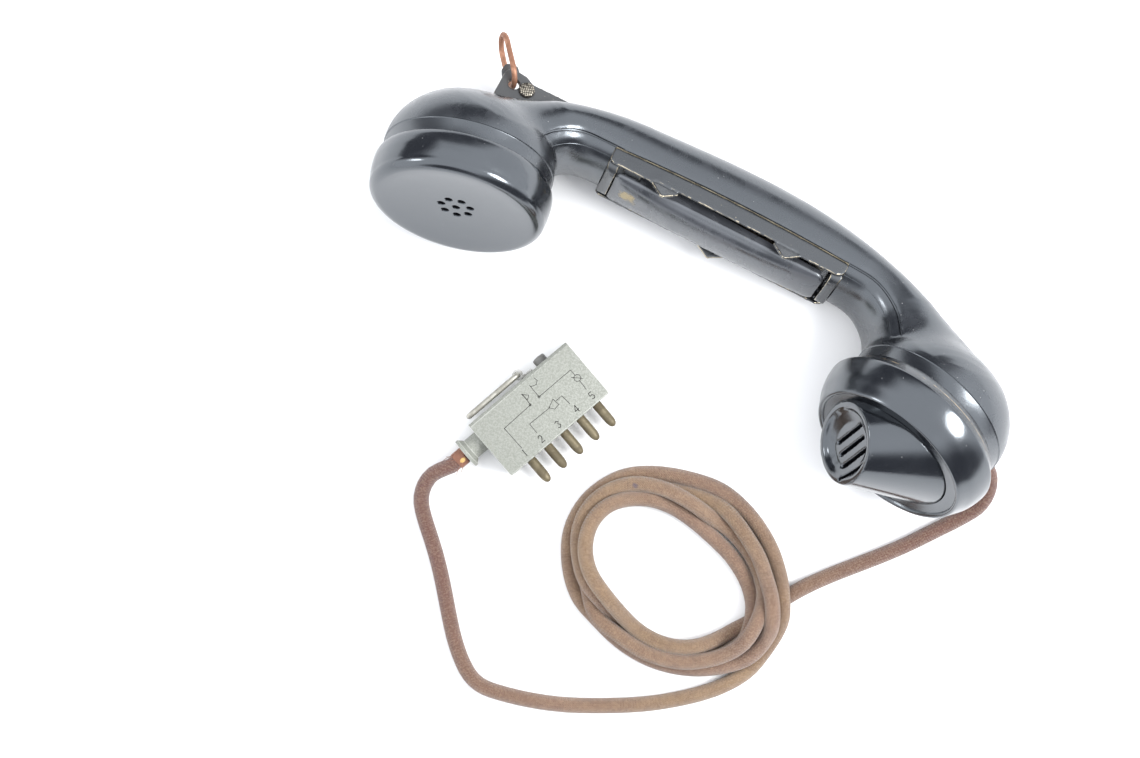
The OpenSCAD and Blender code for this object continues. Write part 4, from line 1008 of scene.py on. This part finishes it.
def bar_ring(x, half, crown):
    """A section of the talk bar: a flat flange and a crown with a soft crease beside it."""
    side = [(8.7, -5.6), (8.95, -5.75), (9, -6.1), (8.95, -6.5), (8.75, -6.9), (8.4, FLANGE_Z)]
    side += [(y, FLANGE_Z - share * crown) for y, share in (
        (7.9, 0.22), (7.3, 0.44), (6.6, 0.62), (5.6, 0.77), (4.3, 0.88), (2.9, 0.95),
        (1.4, 0.99))]
    line = [(-y, z) for y, z in side] + [(0, FLANGE_Z - crown)] + side[::-1]
    return [Vector((x, y * half / 9, z)) for y, z in line]


def corner(radius, inside):
    """How much a rounded corner takes off the width, a distance inside the end."""
    return radius - sqrt(max(0, radius ** 2 - (radius - inside) ** 2)) if inside < radius else 0


rings = []
for x in [BAR_START, 4.5, 4.8, 5.3, 6, *(7 + 2.3 * i for i in range(32)),
          80, 81, 81.8, 82.3, 82.5, BAR_END]:
    near, far = x - BAR_START, BAR_END - x
    half = 9 - corner(1.5, near) - corner(3, far)
    t = near / 78.2
    ends = min(1, (min(near, far) / 2.2)) ** 0.5
    rings.append(bar_ring(x, half, (1.0 + 1.75 * (1 - (2 * t - 1) ** 2)) * ends + 0.02))
bm = bmesh.new()
loft(bm, rings)
knuckles = ((-8.8, -3), (3, 8.8))
parts = [placed(rod(2.6, low, high, 32), move(9, 0, -3.4) @ turn("X", -90))
         for low, high in knuckles]
parts += [block((6.8, low, -6), (11.2, high, -4)) for low, high in knuckles]
slope = tan(radians(2.6))
for side in (-1, 1):
    parts.append(hull([(x, side * y, z) for x in (12.6, 81) for y in (8.1, 8.75)
                       for z in (-6, -1.5 - (x - 9) * slope)]))
bar = finish(raw("bar_pressed", join(bm, parts)), SWITCH, BAR_PAINT, ["talk_bar"],
             38, "talk_bar")
rubbed = bar.data.attributes.new("rubbed", "FLOAT", "POINT")
to_switch = SWITCH.inverted() @ Matrix.Scale(1 / MM, 4)
for vert in bar.data.vertices:
    p = to_switch @ vert.co
    away = sqrt(((p.x - 10.8) / 3.6) ** 2 + ((p.y + 1) / 2.8) ** 2)
    rubbed.data[vert.index].value = max(0, 1 - 0.45 * away) if p.z < -7 else 0
dressed("talk_bar_stud", 0.15, FIBRE, "talk_bar")

# ---- Hanger ----
worn_piece("hanger_bracket", 0.24, 0.05, BRACKET_PAINT)
HEAD_TOP = 2.05
head = turned([(0, 0.02), (2.7, 0.02), (2.8, 0.15), (2.8, 0.6), (2.65, 0.9), (2.3, 1.15),
               (1.5, 1.27), (0, 1.32)], 48)
rivet = raw("rivet_head", placed(head, move(0, 0, 1.1)))
for way in (0, 90):
    for i in range(-4, 5):
        cut(rivet, block((-0.13 + 0.62 * i, -3, HEAD_TOP), (0.13 + 0.62 * i, 3, 3)),
            turn("Z", 40 + way))
bm = bmesh.new()
bm.from_mesh(rivet.data)
wear = bm.faces.layers.float.new("wear")
for face in bm.faces:
    height = face.calc_center_median().z
    groove = abs(height - HEAD_TOP) < 0.03
    face[wear] = 1.0 if height > 1.9 and face.normal.z > 0.5 and not groove else 0.0
join(bm, [turned([(0, -1.3), (1.5, -1.3), (1.5, 1.2), (0, 1.2)], 32),
          turned([(0, -2.4), (2.3, -2.3), (2.8, -1.8), (2.8, -1.15), (0, -1.12)], 48)])
bm.to_mesh(rivet.data)
bm.free()
finish(rivet, BRACKET @ turn("X", 90), RIVET, ["hanger_rivet"])

ring_path = []
for x, angle, way in ((0, pi / 2, 1), (9, -pi / 2, -1)):
    ring_path += [(x + 5 * cos(a), 5 * sin(a), 0) for a in np.linspace(angle, angle + pi, 25)]
    ring_path += [(x, -way * 5, 0) for x in (2.2, 4.5, 6.8)[::way]]
wire = [0.97 + 0.025 * sin(0.9 * i) for i in range(len(ring_path))]
finish(raw("hanging_ring_wire", swept(ring_path, wire, 20, True)), RING, RUST,
       ["hanger_ring"], 0, "hanger_ring")

# ---- Plug ----
PLUG_HALF_L, PLUG_HALF_W, COVER_LOW, COVER_THICK = 22, 11.5, 12.05, 2
PIN_PITCH = 7.4
dressed("plug_housing", 0.25, ZINC)
cover_line = [(-PLUG_HALF_W, 0), (PLUG_HALF_W, 0), (PLUG_HALF_W, 0.9), (10.4, COVER_THICK),
              (-11.2, COVER_THICK), (-PLUG_HALF_W, 1.7)]
cover = drawn_out([(PLUG_HALF_L, y, z + COVER_LOW) for y, z in cover_line],
                  (-2 * PLUG_HALF_L, 0, 0))
finish(raw("plug_cover_plate", round_edges(cover, 0.14, 20)), PLUG, ZINC,
       ["plug_cover"])


def stroke(points, width):
    """Flat boxes along a line, with round ends, a hair above the cover."""
    low, high = -0.08, 0.035
    parts = []
    for (x0, y0), (x1, y1) in zip(points, points[1:]):
        run = Vector((x1 - x0, y1 - y0, 0))
        way = run.to_track_quat("X", "Z").to_matrix().to_4x4()
        box = block((0, -width / 2, low), (run.length, width / 2, high))
        parts.append(placed(box, move(x0, y0, 0) @ way))
    return parts + [placed(rod(width / 2, low, high, 10), move(x, y, 0)) for x, y in points]


LINES = [
    [(-13.1, -6.4), (-13.3, 2.6), (-1.2, 2.9), (-1, 7.2)],
    [(-1.2, 7.6), (0.5, 5.8), (-0.9, 4.9), (-1.2, 7.6)],
    [(-5.8, -5.7), (-5.7, -1.9), (3.2, -2.1)],
    [(2.9, -2), (5.9, -0.6), (6.3, -3.3), (4.2, -3.6), (2.9, -2)],
    [(6.4, -1.7), (9, -1.7), (9.3, -5.6)], [(2.9, 8.2), (2.8, 3.1), (17, 3.1), (17, 0.7)],
    [(17, -1.7), (16.8, -5.4)], [(2.8, 7.6), (4.8, 6.9), (6, 7.8), (5.7, 9.2)],
    arc(17, -0.5, 1.2, 0, 360, 12), [(15.6, 0.9), (18.4, -1.9)],
    arc(2.8, 3.1, 0.4, 0, 360, 8), arc(-1.3, 3, 0.4, 0, 360, 8)]
FIGURE_H, FIGURE_Y = 2.5, -8.3
FIGURES = [
    (-13.4, [(0.5, 0), (0.5, 1)]),
    (-6.0, [(0.15, 0.8), (0.35, 1), (0.65, 1), (0.8, 0.75), (0.7, 0.5), (0.15, 0), (0.85, 0)]),
    (1.7, [(0.15, 0.9), (0.5, 1), (0.8, 0.78), (0.5, 0.55), (0.85, 0.28), (0.5, 0),
           (0.15, 0.1)]),
    (9.8, [(0.7, 0), (0.7, 1), (0.1, 0.3), (0.9, 0.3)]),
    (16.9, [(0.8, 1), (0.2, 1), (0.15, 0.55), (0.6, 0.6), (0.85, 0.3), (0.6, 0), (0.15, 0.1)])]
ink = bmesh.new()
for line in LINES:
    join(ink, stroke(line, 0.2))
for x, figure in FIGURES:
    line = [(x + 0.75 * FIGURE_H * (u - 0.5), FIGURE_Y + FIGURE_H * (v - 0.5)) for u, v in figure]
    join(ink, stroke(line, 0.28))
placed(ink, move(0, 0, COVER_LOW + COVER_THICK))
finish(raw("cover_engraving", ink), PLUG, INK, (), 0)
dressed("plug_gland", 0.15, ZINC)
stud = turned([(0, 11.55), (2.4, 11.55), (2.4, 13.2)] + arc(1.7, 13.2, 0.7, 0, 90, 5)
              + [(0, 14.1)], 48)
placed(stud, move(11.2, 0, 7) @ turn("X", -90))
finish(raw("plug_stud_turned", stud), PLUG, STUD_PAINT, ["plug_stud"])
dressed("plug_clip_hook", 0.2, STEEL)
dressed("cord_bush", 0.2, RUBBER)
CLIP_HALF_L, CLIP_HALF_H, CLIP_BEND = 11, 3.4, 1.6
clip_path = []
for right, up, start in ((1, 1, 0), (-1, 1, 90), (-1, -1, 180), (1, -1, 270)):
    x, y = right * (CLIP_HALF_L - CLIP_BEND), up * (CLIP_HALF_H - CLIP_BEND)
    clip_path += [(px, py, 0) for px, py in arc(x, y, CLIP_BEND, start, start + 90, 6)]
    if start % 180 == 0:
        clip_path += [(px, clip_path[-1][1], 0) for px in (x * 0.6, x * 0.2, -x * 0.2, -x * 0.6)]
finish(raw("clip_wire_loop", swept(clip_path, 0.97, 16, True)),
       PLUG @ move(2 - CLIP_HALF_L, 13.7, 7) @ turn("X", 90), CLIP, ["plug_clip"],
       0, "plug_clip")
pin_line = [
    (0, 0), (1.4, 0), (1.4, 9.05), (1.6, 9.05), (1.7, 9.2), (1.7, 15.2),
    *smooth_outline([(1.7, 15.2), (1.66, 16.4), (1.5, 17.4), (1.15, 18.3), (0.6, 18.85),
                     (0, 19)], 3)[1:]]
pins = join(bmesh.new(), [
    placed(turned(pin_line, 40), move(1.3 + (i - 2) * PIN_PITCH, -2.5, 6) @ turn("X", 90))
    for i in range(5)])
finish(raw("pins_turned", pins), PLUG, PINS, ["plug_pins"])

# ---- Inner pieces keep their imported meshes ----
# The inner pieces take plain materials; the contact springs take brass darkened as painted shade.
for material, names in (
        (RUBBER, "ear_gasket mouth_gasket"), (CAPSULE, "receiver_capsule microphone_capsule"),
        (DISC, "receiver_diaphragm"), (BRASS, "receiver_contacts microphone_contacts"),
        (STEEL, "talk_bar_pin talk_bar_spring"), (FIBRE, "switch_insulator plug_insulator"),
        (SHADED_BRASS, "switch_contact_springs"), (SCREW, "switch_screws plug_screws")):
    for name in names.split():
        mesh = frame["nodes"][name].data
        mesh.materials.clear()
        mesh.materials.append(material)

# ---- Floor and lights ----
bm = bmesh.new()
bmesh.ops.create_grid(bm, x_segments=1, y_segments=1, size=2.0)
floor = raw("floor", bm)
material, surface = new_material("pale_floor")
put(surface, Base_Color=(0.9, 0.9, 0.9), Roughness=0.9, Specular_IOR_Level=0.1)
floor.data.materials.append(material)


def softbox(name, place, aim, size, radiance):
    data = bpy.data.lights.new(name, "AREA")
    data.shape = "ELLIPSE"
    data.size, data.size_y = size
    data.energy = radiance * pi * size[0] * size[1]
    light = bpy.data.objects.new(name, data)
    light.location = place
    light.rotation_euler = (Vector(aim) - Vector(place)).to_track_quat("-Z", "Y").to_euler()
    show(light)


softbox("key", (0.68, 0.32, 0.93), (0, -0.03, 0), (0.62, 0.5), 15)
softbox("window", (-0.85, -0.3, 0.55), (0, 0, 0.03), (0.25, 0.25), 9)
world = bpy.data.worlds.new("studio")
world.use_nodes = True
tree = world.node_tree
direction = coords("Generated")
shade = None
for aim, low, high in (((0.85, -0.5, 0.15), 0.62, 0.9), ((-0.45, 0.85, 0.12), 0.74, 0.92),
                       ((-0.95, 0.3, 0.12), 0.80, 0.95), ((0.1, -0.85, 0.45), 0.88, 0.98)):
    near = node("VectorMath", {0: direction, 1: Vector(aim).normalized()},
                operation="DOT_PRODUCT").outputs["Value"]
    near = step(near, low, high)
    shade = near if shade is None else most(shade, near)
put(tree.nodes["Background"].inputs, Strength=1.95,
    Color=blend(shade, (1.0, 1.02, 1.06), (0.09, 0.095, 0.11)))
scene.world = world
scene.view_settings.view_transform = "Standard"
